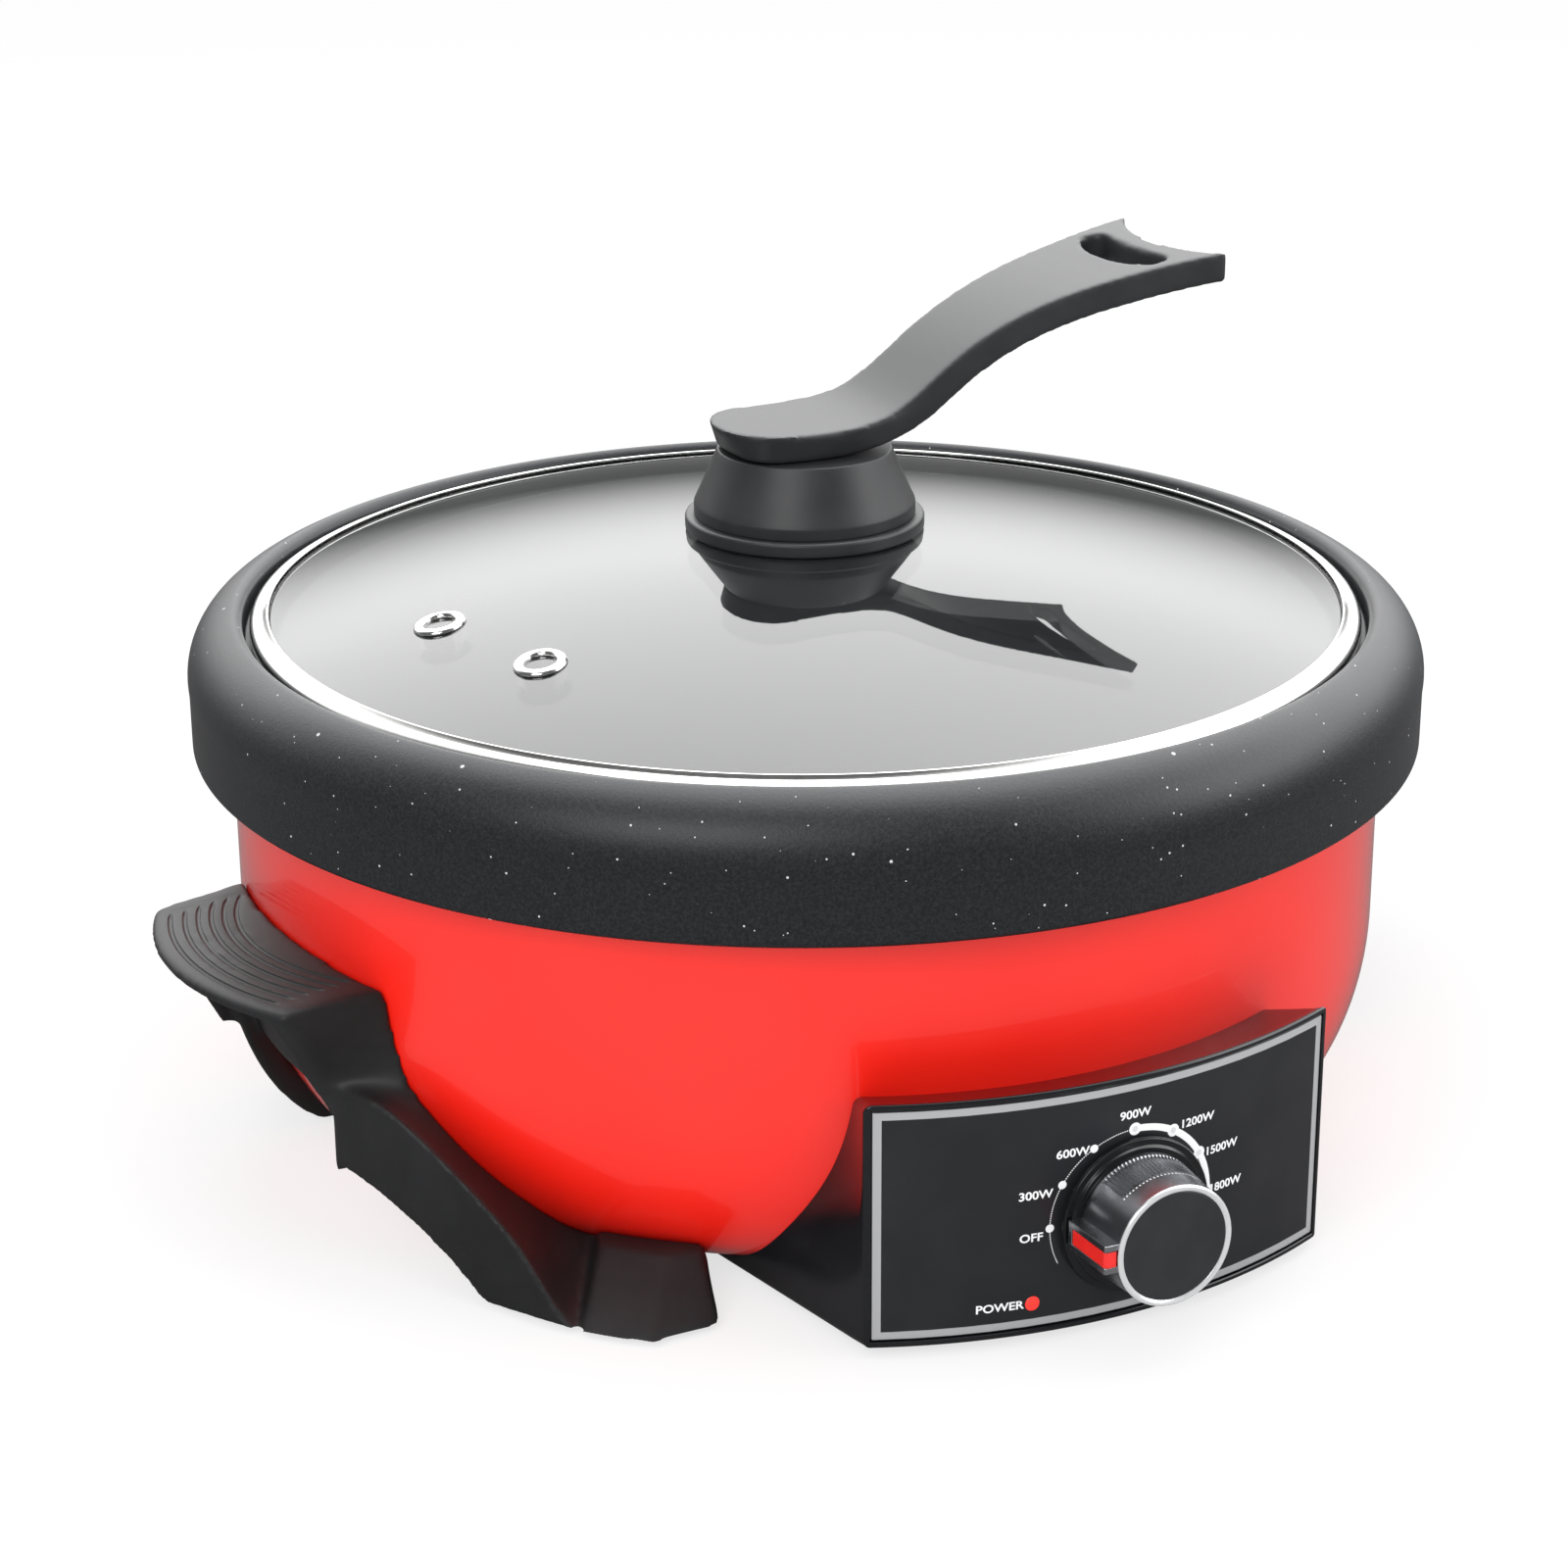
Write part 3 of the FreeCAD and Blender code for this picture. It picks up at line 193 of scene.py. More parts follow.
def softened(corners, radius, closed=True, stride=6.0, turn=7.0):
    """Outline with every corner rounded to about the radius, thinned to stride mm or turn degrees."""
    line = np.vstack([corners, corners[:1]]) if closed else corners
    run = np.r_[0.0, np.cumsum(np.hypot(*np.diff(line, axis=0).T))]
    step = max(min(radius / 5.0, 0.25), 0.04)
    count = int(run[-1] / step)
    walk = np.linspace(0.0, run[-1], count, endpoint=not closed)
    fine = np.stack([np.interp(walk, run, line[:, k]) for k in (0, 1)], -1)
    reach = int(2.2 * radius / step) + 1
    bell = np.exp(-0.5 * (np.arange(-reach, reach + 1) * step / (0.62 * radius)) ** 2)
    bell /= bell.sum()
    style = {"mode": "wrap"} if closed else {"mode": "reflect", "reflect_type": "odd"}
    padded = np.pad(fine, ((reach, reach), (0, 0)), **style)
    soft = np.stack([np.convolve(padded[:, k], bell, "valid") for k in (0, 1)], -1)
    if closed:
        soft = np.vstack([soft, soft[:1]])
    ahead = np.diff(soft, axis=0)
    heading = np.unwrap(np.arctan2(ahead[:, 1], ahead[:, 0]))
    bend = np.r_[0.0, np.abs(np.diff(heading)), 0.0]
    cost = np.cumsum(np.r_[0.0, np.hypot(*ahead.T)] / stride + np.degrees(bend) / turn)
    kept = np.searchsorted(cost, np.linspace(0.0, cost[-1], int(cost[-1]) + 2))
    kept = np.unique(np.clip(kept, 0, len(soft) - 1))
    return soft[kept[:-1]] if closed else soft[kept]


def carried_round(outline, columns):
    """Grid of points: an outline of (radius, height) carried round the upright axis."""
    angle = np.linspace(0.0, 2 * pi, columns, endpoint=False)
    r, z = outline[:, 0][:, None], outline[:, 1][:, None]
    return np.stack([r * np.cos(angle), r * np.sin(angle), z + 0 * angle], -1)


def turned(name, outline, closed=True, columns=240, sharp=50.0):
    """Surface of revolution about the pot's axis from an outline of (radius, height)."""
    return skin(name, carried_round(outline, columns), wrap_rows=closed, sharp=sharp)


# %% [markdown]
# ## Finishes as sums
#
# A finish is a small sum of patterns: grain plus specks, or one colour mixed into another by a mask.
# Nodes are good at the patterns but clumsy for the sums, so this small class wraps a node's output and
# lets Python's own + - * / add the Math nodes. One method makes any other node. Only what changes over
# a surface is linked; what is the same everywhere is set on the shader itself.

# %% Finish helpers
def connect(tree, socket, value):
    """Give a socket a value, or a link from another socket."""
    value = getattr(value, "socket", value)
    if isinstance(value, bpy.types.NodeSocket):
        tree.links.new(value, socket)
    else:
        socket.default_value = value


def add_node(tree, kind, settings, inputs):
    """Any node: its settings first, then values or links for its sockets."""
    made = tree.nodes.new(kind)
    for key, value in settings.items():
        setattr(made, key, value)
    for key, value in inputs.items():
        connect(tree, made.inputs[key], value)
    return made


class Link:
    """One output of a node that can be used in ordinary sums."""

    def __init__(self, finish, socket):
        self.finish, self.socket = finish, socket

    def __add__(self, other):
        return self.finish.sum("ADD", self, other)

    def __sub__(self, other):
        return self.finish.sum("SUBTRACT", self, other)

    def __rsub__(self, other):
        return self.finish.sum("SUBTRACT", other, self)

    def __mul__(self, other):
        return self.finish.sum("MULTIPLY", self, other)

    def __truediv__(self, other):
        return self.finish.sum("DIVIDE", self, other)

    def __pow__(self, other):
        return self.finish.sum("POWER", self, other)

    __radd__, __rmul__ = __add__, __mul__

    def step(self, low, high):
        """0 below low, 1 above high, a smooth rise between them."""
        return self.finish.node("ShaderNodeMapRange", {"interpolation_type": "SMOOTHSTEP"},
                                {"Value": self, "From Min": low, "From Max": high})

    def most(self, other):
        return self.finish.sum("MAXIMUM", self, other)


class Finish:
    """A material under construction. Lengths in its patterns are millimetres."""

    def __init__(self, name, color, roughness, **constants):
        self.material = bpy.data.materials.new(name)
        self.material.use_nodes = True
        self.material.diffuse_color = (*color, 1.0)
        self.tree = self.material.node_tree
        self.shader = self.tree.nodes["Principled BSDF"]
        self.give("Base Color", (*color, 1.0))
        self.give("Roughness", roughness)
        for socket, value in constants.items():
            self.give(socket.replace("_", " "), value)
        coordinates = self.tree.nodes.new("ShaderNodeTexCoord")
        self.place = self.node("ShaderNodeMapping", {}, {"Vector": coordinates.outputs["Object"],
                                                         "Scale": (1000.0, 1000.0, 1000.0)})

    def node(self, kind, settings, inputs, output=0):
        """Any node, as a Link to one of its outputs."""
        return Link(self, add_node(self.tree, kind, settings, inputs).outputs[output])

    def give(self, socket, value):
        """Set or link one socket of the shader."""
        connect(self.tree, self.shader.inputs[socket], value)

    def sum(self, operation, a, b):
        return self.node("ShaderNodeMath", {"operation": operation}, {0: a, 1: b})

    def mixed(self, mask, under, over):
        """Colour under, with colour over where the mask is 1."""
        under, over = [(*c, 1.0) if isinstance(c, tuple) and len(c) == 3 else c for c in (under, over)]
        return self.node("ShaderNodeMix", {"data_type": "RGBA"}, {0: mask, 6: under, 7: over}, 2)

    def noise(self, size, detail=2.0, rough=0.5):
        """Cloudy pattern from 0 to 1 with patches of about the size."""
        return self.node("ShaderNodeTexNoise", {}, {"Vector": self.place, "Scale": 1.0 / size,
                                                    "Detail": detail, "Roughness": rough})

    def cells(self, size, output):
        """Scattered cells of about the size: Distance to their middles, or a random Color for each."""
        return self.node("ShaderNodeTexVoronoi", {}, {"Vector": self.place, "Scale": 1.0 / size}, output)

    def parts(self, vector):
        """The three numbers of a vector."""
        split = add_node(self.tree, "ShaderNodeSeparateXYZ", {}, {0: vector})
        return [Link(self, socket) for socket in split.outputs]

    def bump(self, height, depth, strength):
        """Raise the surface by height times depth in millimetres."""
        self.give("Normal", self.node("ShaderNodeBump", {}, {"Height": height, "Distance": depth / 1000.0,
                                                             "Strength": strength}))

    def specks(self, spacing, radius, share):
        """Mask of round specks: one in each scattered cell, kept only in the given share of the cells."""
        distance = self.cells(spacing, "Distance") * spacing
        chance, size, _ = self.parts(self.cells(spacing, "Color"))
        grown = size * radius + radius * 0.4
        return (1.0 - (distance / grown).step(0.75, 1.1)) * (1.0 - chance.step(share - 0.01, share + 0.01))


# %% [markdown]
# ## The pot's coating
#
# The pot is cast aluminium with a baked non-stick coat: nearly black with a trace of blue, fine as
# emery to the eye, and sprinkled with small pale flakes. The grain is only a tenth of a millimetre
# deep, so it belongs in the shading and not in the mesh. Two sizes of flakes are drawn, because one
# size alone looks like a printed dot pattern.

# %% Pot coating
coating = Finish("pot coating", (0.009, 0.010, 0.013), 0.42, Coat_Roughness=0.25, Specular_IOR_Level=0.5)
grain = coating.noise(0.9, 4.0, 0.75)
cloud = coating.noise(30.0, 2.0)
small_flakes = coating.specks(3.1, 0.26, 0.42)
large_flakes = coating.specks(7.5, 0.50, 0.18)
flakes = small_flakes.most(large_flakes)
coat_color = coating.mixed(grain.step(0.35, 0.75), (0.005, 0.006, 0.008), (0.017, 0.019, 0.023))
coat_color = coating.mixed(flakes * 0.85, coat_color, (0.62, 0.64, 0.66))
coating.give("Base Color", coat_color)
coating.give("Roughness", grain * 0.16 + cloud * 0.06 + 0.33)
coating.bump(grain, 0.10, 0.8)

# %% [markdown]
# ## The cast pot
#
# The pot is one casting turned about its axis: a flat bottom, a deep wall, the ledge where the lid
# sits, a rounded crest and a wide skirt that hangs over the shell. A solid of revolution is exactly an
# outline carried round a circle, so the grid's rows follow the outline and its columns the circle.

# %% Pot
POT_RADIUS, RIM_TOP, SEAT, FLOOR, FLOOR_WALL = 178.0, 149.2, 142.0, 46.3, 3.6
CREST_WIDE, CREST_TALL = 13.0, 20.6           # the crest is nearly a quarter ellipse of this size
CREST = POT_RADIUS - CREST_WIDE
pot_outline = steps_of(
    (0, FLOOR), (108.0, FLOOR), ((141.5, FLOOR + 16.0), (151.0, FLOOR + 48.0)), (151.8, 132.0),
    ((153.5, 136.2), (157.7, 138.0)), (169.0, 138.0), ((172.8, 136.2), (174.0, 132.0)), (174.4, 112.0),
    ((175.0, 111.0), (176.4, 111.0)), ((177.5, 111.5), (178.0, 112.8)), (178.0, RIM_TOP - CREST_TALL),
    ((CREST + CREST_WIDE * cos(pi / 4), RIM_TOP - CREST_TALL + CREST_TALL * sin(pi / 4)), (CREST, RIM_TOP)),
    ((CREST - 2.2, RIM_TOP - 0.9), (CREST - 3.0, RIM_TOP - 3.2)), (CREST - 3.2, SEAT + 0.8),
    ((CREST - 3.5, SEAT + 0.2), (CREST - 4.1, SEAT)), (152.5, SEAT),
    ((150.0, SEAT - 1.2), (147.9, SEAT - 4.5)), (147.4, FLOOR + 50.0),
    ((138.0, FLOOR + 19.2), (104.0, FLOOR + FLOOR_WALL)), (0, FLOOR + FLOOR_WALL))
pot = turned("cast_pot", softened(pot_outline, 0.6, closed=False), closed=False, columns=288)
wear(pot, coating, "pot", "pot_coating", "inner_pot")

# %% [markdown]
# ## Red enamel and the shell
#
# The shell is drawn sheet steel with a thick, glossy baked paint. Under the gloss the colour is one
# strong red, so the look comes from two layers of shine: the paint, which is a little soft, and a
# clear coat over it that is sharp. Real paint is never quite flat; a very faint orange peel a few
# millimetres across makes long reflections waver a little.

# %% Red enamel
enamel = Finish("red enamel", (0.90, 0.012, 0.005), 0.30,
                Coat_Weight=1.0, Coat_Roughness=0.04, Coat_IOR=1.5)
peel = enamel.noise(3.2, 1.0)
depth_of_red = enamel.noise(60.0, 2.0).step(0.3, 0.7)
enamel.give("Base Color", enamel.mixed(depth_of_red, (0.88, 0.011, 0.004), (0.92, 0.015, 0.006)))
enamel.bump(peel, 0.05, 0.35)

# %% [markdown]
# The bowl's outline is straight at the top and then follows a quarter of an ellipse that runs out flat
# at the bottom: with a turn t from 0 to 90 degrees, the radius grows with sin t and the height with
# 1 - cos t. Equal steps of t put the rings closest where the curve is tightest. The outline is doubled
# inwards by the sheet's thickness, so the edge at the bottom and the top has its true 1.4 mm.

# %% Shell
SHELL, BOWL_TOP, FLAT_R, SHELL_LOW, LIP_R = 166.8, 59.5, 133.0, 4.6, 124.0
SHELL_TOP, SHEET = 124.0, 1.4


def bowl_radius(z):
    """Outside radius of the shell at height z: a quarter ellipse under a straight wall."""
    fall = np.clip((BOWL_TOP - np.asarray(z, float)) / (BOWL_TOP - SHELL_LOW), 0.0, 1.0)
    return FLAT_R + (SHELL - FLAT_R) * np.sqrt(1.0 - fall ** 2)


def ring_wall(outer, sheet):
    """Closed outline: a line from bottom to top, and the same line moved in by the sheet's thickness."""
    ahead = np.gradient(outer, axis=0)
    normal = np.stack([-ahead[:, 1], ahead[:, 0]], -1) / np.hypot(*ahead.T)[:, None]
    return np.vstack([outer, (outer + normal * sheet)[::-1]])


turn = np.linspace(0.0, pi / 2, 60)
curve = np.stack([FLAT_R + (SHELL - FLAT_R) * np.sin(turn),
                  BOWL_TOP - (BOWL_TOP - SHELL_LOW) * np.cos(turn)], -1)
straight = np.array([(SHELL, z) for z in np.linspace(BOWL_TOP + 4.5, SHELL_TOP, 12)])
shell_line = np.vstack([[(LIP_R, SHELL_LOW), (FLAT_R - 4.0, SHELL_LOW)], curve, straight])
shell_outline = softened(ring_wall(shell_line, SHEET), 0.45, stride=4.0, turn=4.0)
shell = turned("painted_shell", shell_outline, columns=288)
wear(shell, enamel, "base", "red_paint", "outer_shell")

# %% [markdown]
# ## Plain plastics
#
# Three black plastics meet here: the side frames and base are spark-eroded and dull, the housing is
# polished, and the lid's handle is satin. They share one recipe and differ in how deep and how fine
# the mould's texture is and how much light it scatters.

# %% Black plastics
def moulded(name, color, roughness, grain_size, grain_depth, specular=0.5):
    """Moulded plastic: one colour with a faint cloud in it, and the mould's fine texture as bump."""
    finish = Finish(name, color, roughness, Specular_IOR_Level=specular)
    texture = finish.noise(grain_size, 3.0, 0.7)
    cloud = finish.noise(25.0, 3.0, 0.6)
    dark = tuple(c * 0.82 for c in color)
    light = tuple(c * 1.18 for c in color)
    finish.give("Base Color", finish.mixed(cloud.step(0.3, 0.7), dark, light))
    finish.give("Roughness", texture * 0.10 + cloud * 0.06 + (roughness - 0.08))
    finish.bump(texture, grain_depth, 0.7)
    return finish


frame_plastic = moulded("eroded black plastic", (0.012, 0.0125, 0.0135), 0.50, 0.55, 0.05, 0.4)
housing_plastic = moulded("polished black plastic", (0.008, 0.0085, 0.010), 0.20, 1.2, 0.008)
handle_plastic = moulded("satin black plastic", (0.021, 0.022, 0.024), 0.44, 0.40, 0.03, 0.45)
bush_rubber = moulded("black rubber", (0.020, 0.020, 0.021), 0.75, 0.6, 0.06, 0.3)
pale_plastic = moulded("pale moulding", (0.62, 0.60, 0.56), 0.50, 0.6, 0.02)
silicone = moulded("dark silicone", (0.030, 0.030, 0.032), 0.55, 0.8, 0.02, 0.4)

# %% [markdown]
# ## Metals
#
# Rolled stainless steel shines in a streak along its rolling direction, plated wire is duller, and
# cast aluminium is grey and a little porous. All are fully metallic; what sets them apart is the
# roughness, and how much it changes over a few millimetres.

# %% Metals
def metal(name, color, roughness, grain_size, grain_depth, spread=0.12):
    """Bare metal with fine grain in its shine and a faint bump."""
    finish = Finish(name, color, roughness, Metallic=1.0)
    texture = finish.noise(grain_size, 4.0, 0.7)
    finish.give("Roughness", texture * spread + (roughness - spread / 2))
    finish.give("Base Color", finish.mixed(texture.step(0.3, 0.7), tuple(c * 0.9 for c in color), color))
    finish.bump(texture, grain_depth, 0.5)
    return finish


bright_steel = metal("bright steel", (0.80, 0.80, 0.79), 0.14, 2.5, 0.003, 0.06)
plated_steel = metal("plated steel", (0.56, 0.57, 0.58), 0.34, 1.5, 0.01)
dull_steel = metal("heated steel", (0.30, 0.28, 0.26), 0.45, 3.0, 0.02)
cast_metal = metal("cast aluminium", (0.58, 0.58, 0.59), 0.46, 1.1, 0.05)
sheet_metal = metal("sheet aluminium", (0.74, 0.74, 0.75), 0.30, 2.0, 0.01)

# %% [markdown]
# ## The lid
#
# The lid is a shallow dome of tempered glass with a rolled steel channel round its edge. The glass is
# a thin shell between two spheres with one centre, so both faces run parallel, and its edge is hidden
# in the channel. Its surface is smooth enough to mirror the handle above it.

# %% Lid glass
LID_RADIUS, GLASS, GLASS_RISE, GLASS_R, GLASS_Z = 160.0, 4.0, 22.0, 157.0, 147.0
DOME = (GLASS_R ** 2 + GLASS_RISE ** 2) / (2.0 * GLASS_RISE)
DOME_Z = GLASS_Z + GLASS_RISE - DOME


def dome_z(r, drop=0.0):
    """Height of a sphere about the dome's centre, drop mm under the glass's top face."""
    return DOME_Z + np.sqrt((DOME - drop) ** 2 - np.asarray(r, float) ** 2)


glass = Finish("lid glass", (0.020, 0.022, 0.023), 0.02, IOR=2.1, Alpha=0.72)
glass.bump(glass.noise(45.0, 1.0), 0.05, 0.4)
radii = np.linspace(4.2, GLASS_R, 60)
over = np.stack([radii, dome_z(radii)], -1)
under = np.stack([radii, dome_z(radii, GLASS)], -1)[::-1]
dome = turned("lid_dome", np.vstack([over, under]), columns=240)
wear(dome, glass, "lid", "lid_glass", "lid_glass")

# %% Rim ring
out, seat, top, low = LID_RADIUS, SEAT + 0.3, GLASS_Z, GLASS_Z - GLASS
rim_outline = steps_of(
    (out - 5.6, top + 1.7), ((out - 5.4, top + 2.0), (out - 4.7, top + 1.7)), (out - 3.9, top + 0.9),
    ((out - 3.1, top + 0.7), (out - 2.6, top + 0.9)), ((out - 0.5, top - 0.2), (out, top - 2.2)),
    (out, seat + 1.2), ((out - 0.5, seat + 0.3), (out - 1.6, seat)), (out - 5.8, seat),
    ((out - 6.2, seat + 0.2), (out - 6.3, seat + 0.5)), (out - 6.3, low - 0.22),
    (GLASS_R + 0.1, low - 0.22), (GLASS_R + 0.1, top + 0.05), (out - 5.0, top + 0.75), count=8)
rim = turned("rolled_rim", softened(rim_outline, 0.22, stride=3.0, turn=14.0), columns=288, sharp=80.0)
wear(rim, bright_steel, "lid", "bright_steel", "lid_rim_ring")

# %% [markdown]
# The lid's knob stands on a wide flange. A bell-shaped neck lifts the handle clear of the hot glass.
# Both are turned shapes with soft shoulders, in the same satin plastic as the handle.

# %% Flange and neck
FLANGE_R, FLANGE_TOP, NECK_TOP = 34.5, 172.4, 191.68
flange_outline = steps_of(
    (5.0, dome_z(5.0) + 0.5), ((18.0, dome_z(18.0) + 0.5), (31.1, dome_z(31.1) + 0.5)),
    (31.2, dome_z(31.2) + 0.15), (FLANGE_R - 1.0, dome_z(FLANGE_R) + 0.2),
    ((FLANGE_R - 0.2, dome_z(FLANGE_R) + 0.5), (FLANGE_R, dome_z(FLANGE_R) + 1.3)),
    (FLANGE_R, FLANGE_TOP - 0.9), ((FLANGE_R - 0.3, FLANGE_TOP - 0.3), (FLANGE_R - 1.0, FLANGE_TOP)),
    (26.0, FLANGE_TOP), (26.0, FLANGE_TOP - 1.1), (5.0, FLANGE_TOP - 1.1), count=8)
flange = turned("knob_foot", softened(flange_outline, 0.3, stride=3.0, turn=12.0), columns=160)
wear(flange, handle_plastic, "lid", "handle_plastic", "lid_knob_flange")
neck_outline = steps_of(
    (5.0, FLANGE_TOP - 1.05), (25.9, FLANGE_TOP - 1.05), (25.9, FLANGE_TOP + 0.02),
    (31.9, FLANGE_TOP + 0.02), (31.9, FLANGE_TOP + 3.4), ((28.0, FLANGE_TOP + 12.1), (25.0, NECK_TOP)),
    (5.0, NECK_TOP))
neck = turned("knob_neck", softened(neck_outline, 0.45, stride=2.0, turn=8.0), columns=160)
wear(neck, handle_plastic, "lid", "handle_plastic", "lid_knob_neck")

# %% [markdown]
# ## The panel and its print
#
# The control panel is a slice of a wide cylinder, so it needs few faces across and none to spare along
# its height. The print is drawn by the material itself: the object's own X and Z are millimetres on the
# panel, and every mark is a sum of distances from there. A mark is sharp at any size that way, and its
# ink can have a shine of its own.

# %% Panel outline
PANEL_R, PANEL_Y, PANEL_HALF, PANEL_LOW, PANEL_TOP = 167.5, -19.9, 67.3, 5.2, 70.2
KNOB_X, KNOB_Z, LAMP_X, LAMP_Z = 1.5, 33.0, -26.1, 12.1
SCALE_R = 23.7                # the dial's print stands on a ring of this radius
BORDER_IN, BORDER_WIDE = 2.5, 2.0
FACE_Y = PANEL_Y - PANEL_R


def panel_y(x, radius=PANEL_R):
    """Depth of the panel's cylinder at a sideways place."""
    return PANEL_Y - np.sqrt(radius ** 2 - np.asarray(x, float) ** 2)


def rounded_box(half, low, high, radius, per_corner=8, per_side=14):
    """Outline of a box with round corners as (x, z), running round from the lower left corner."""
    side, bottom, top = half - radius, low + radius, high - radius
    centres = [(-side, bottom), (side, bottom), (side, top), (-side, top)]
    points = []
    for k, (x, z) in enumerate(centres):
        turn = np.radians(180 + 90 * k + np.linspace(0, 90, per_corner))
        points.append(np.stack([x + radius * np.cos(turn), z + radius * np.sin(turn)], -1))
        end, start = points[-1][-1], np.array(centres[(k + 1) % 4])
        start = start + radius * np.array([np.cos(turn[-1]), np.sin(turn[-1])])
        points.append(end + (start - end) * np.linspace(0, 1, per_side, endpoint=False)[1:, None])
    return np.vstack(points)


# %% Panel ink
ink = Finish("printed panel", (0.014, 0.0150, 0.0175), 0.30, Specular_IOR_Level=0.5)
side, _, up = ink.parts(ink.place)
dx, dz = side - KNOB_X, up - KNOB_Z
ring = (dx * dx + dz * dz) ** 0.5
bearing = ink.sum("ARCTAN2", dz, dx) * (180.0 / pi)


def within(value, middle, half, soft=0.06):
    """1 where the value lies within half of the middle, with a thin soft edge."""
    away = ink.sum("ABSOLUTE", value - middle, 0.0)
    return 1.0 - away.step(half - soft, half + soft)


def dot(angle, radius, soft=0.08):
    """Round dot on the dial's ring."""
    ax = side - (KNOB_X + SCALE_R * cos(radians(angle)))
    az = up - (KNOB_Z + SCALE_R * sin(radians(angle)))
    return 1.0 - ((ax * ax + az * az) ** 0.5).step(radius - soft, radius + soft)


edge_x = ink.sum("ABSOLUTE", side, 0.0)
edge_z = ink.sum("ABSOLUTE", up - (PANEL_LOW + PANEL_TOP) / 2.0, 0.0)
reach = (edge_x - (PANEL_HALF - BORDER_IN)).most(edge_z - ((PANEL_TOP - PANEL_LOW) / 2.0 - BORDER_IN))
border = reach.step(-0.06, 0.06) * (1.0 - reach.step(BORDER_WIDE, BORDER_WIDE + 0.12))
arc_band = within(ring, SCALE_R, 0.95) * within(bearing, 45.0, 45.0, 0.2)
left_side = (1.0 - within(bearing, 20.0, 70.0, 0.2)) * (1.0 - within(bearing, -90.0, 64.0))
fine_arc = within(ring, SCALE_R, 0.14) * left_side
dashes = ink.node("ShaderNodeMath", {"operation": "FRACT"}, {0: bearing / 1.55})
marks = arc_band.most(fine_arc * dashes.step(0.38, 0.46))
for angle in (180.0, 150.0, 120.0):
    marks = marks.most(dot(angle, 1.15))
for angle in (90.0, 60.0, 30.0, 0.0):
    marks = marks.most(dot(angle, 1.75))
centre_dots = dot(90.0, 0.85)
for angle in (60.0, 30.0, 0.0):
    centre_dots = centre_dots.most(dot(angle, 0.85))
dust = ink.specks(4.5, 0.13, 0.10)
base = ink.mixed(ink.noise(18.0, 3.0).step(0.25, 0.75), (0.0125, 0.0135, 0.0160), (0.0165, 0.0175, 0.0205))
base = ink.mixed(dust * 0.5, base, (0.30, 0.31, 0.33))
base = ink.mixed(border, base, (0.56, 0.57, 0.58))
base = ink.mixed(marks, base, (0.86, 0.87, 0.88))
base = ink.mixed(centre_dots * 0.5, base, (0.42, 0.43, 0.45))
ink.give("Base Color", base)
ink.give("Metallic", border * 0.5)
ink.give("Roughness", border * 0.06 + marks * 0.10 + ink.noise(1.4, 2.0) * 0.05 + 0.27)
ink.bump(ink.noise(0.8, 2.0), 0.006, 0.5)

# %% [markdown]
# The plate is a 2 mm moulding. Its front is one grid whose columns run round the outline and whose rows
# step from the back edge over a small round to the face and in to the middle, all on the cylinder.

# %% Panel plate
PLATE_THICK, EDGE_R = 2.0, 0.45
turn = np.radians(np.linspace(0, 90, 5))
insets = np.r_[3.0, 0.0, EDGE_R * (1 - np.cos(turn))]
depths = np.r_[PLATE_THICK, PLATE_THICK, EDGE_R * (1 - np.sin(turn))]
plate_rows = []
for inset, depth in zip(insets, depths):
    corner = max(1.2 - inset, 0.05)
    x, z = rounded_box(PANEL_HALF - inset, PANEL_LOW + inset, PANEL_TOP - inset, corner).T
    plate_rows.append(np.stack([x, panel_y(x) + depth, z], -1))
face_edge, middle = plate_rows[-1], np.array([0.0, 0.0, (PANEL_LOW + PANEL_TOP) / 2.0])
for share in np.linspace(0.96, 0.0, 26):
    flat = middle + (face_edge - middle) * share
    flat[:, 1] = panel_y(flat[:, 0])
    plate_rows.append(flat)
plate = skin("printed_plate", np.array(plate_rows), sharp=60.0)
wear(plate, ink, "base", "faceplate", "control_faceplate")

# %% [markdown]
# Words on a panel are printed too, but letters are not sums of circles, so each word is set in type,
# turned into faces and wrapped on the cylinder a few hundredths of a millimetre over the plate.

# %% Panel words
CAPITALS, LETTER_WIDTH = 2.35, 1.12           # height in mm, and how much wider than the typeface
TYPE_SIZE, BOLDER = 1.38, 0.032               # in heights of a capital

paint = Finish("white ink", (0.84, 0.85, 0.86), 0.38)
cover = paint.noise(0.8, 2.0).step(0.3, 0.8)
paint.give("Base Color", paint.mixed(cover, (0.80, 0.81, 0.82), (0.88, 0.89, 0.90)))


def printed_word(word, x, z, align):
    """One word as points and faces on the panel."""
    curve = bpy.data.curves.new(word, "FONT")
    curve.body, curve.size, curve.offset = word, CAPITALS * TYPE_SIZE, CAPITALS * BOLDER
    curve.align_x, curve.align_y, curve.resolution_u = align, "CENTER", 4
    holder = add_object(word, curve)
    bpy.context.view_layer.update()
    flat = bpy.data.meshes.new_from_object(holder)
    places = np.zeros(len(flat.vertices) * 3)
    flat.vertices.foreach_get("co", places)
    faces = [list(face.vertices) for face in flat.polygons]
    bpy.data.objects.remove(holder)
    bpy.data.curves.remove(curve)
    bpy.data.meshes.remove(flat)
    u, v = x + places[0::3] * LETTER_WIDTH, z + places[1::3]
    return np.stack([u, panel_y(u) - 0.03, v], -1), faces


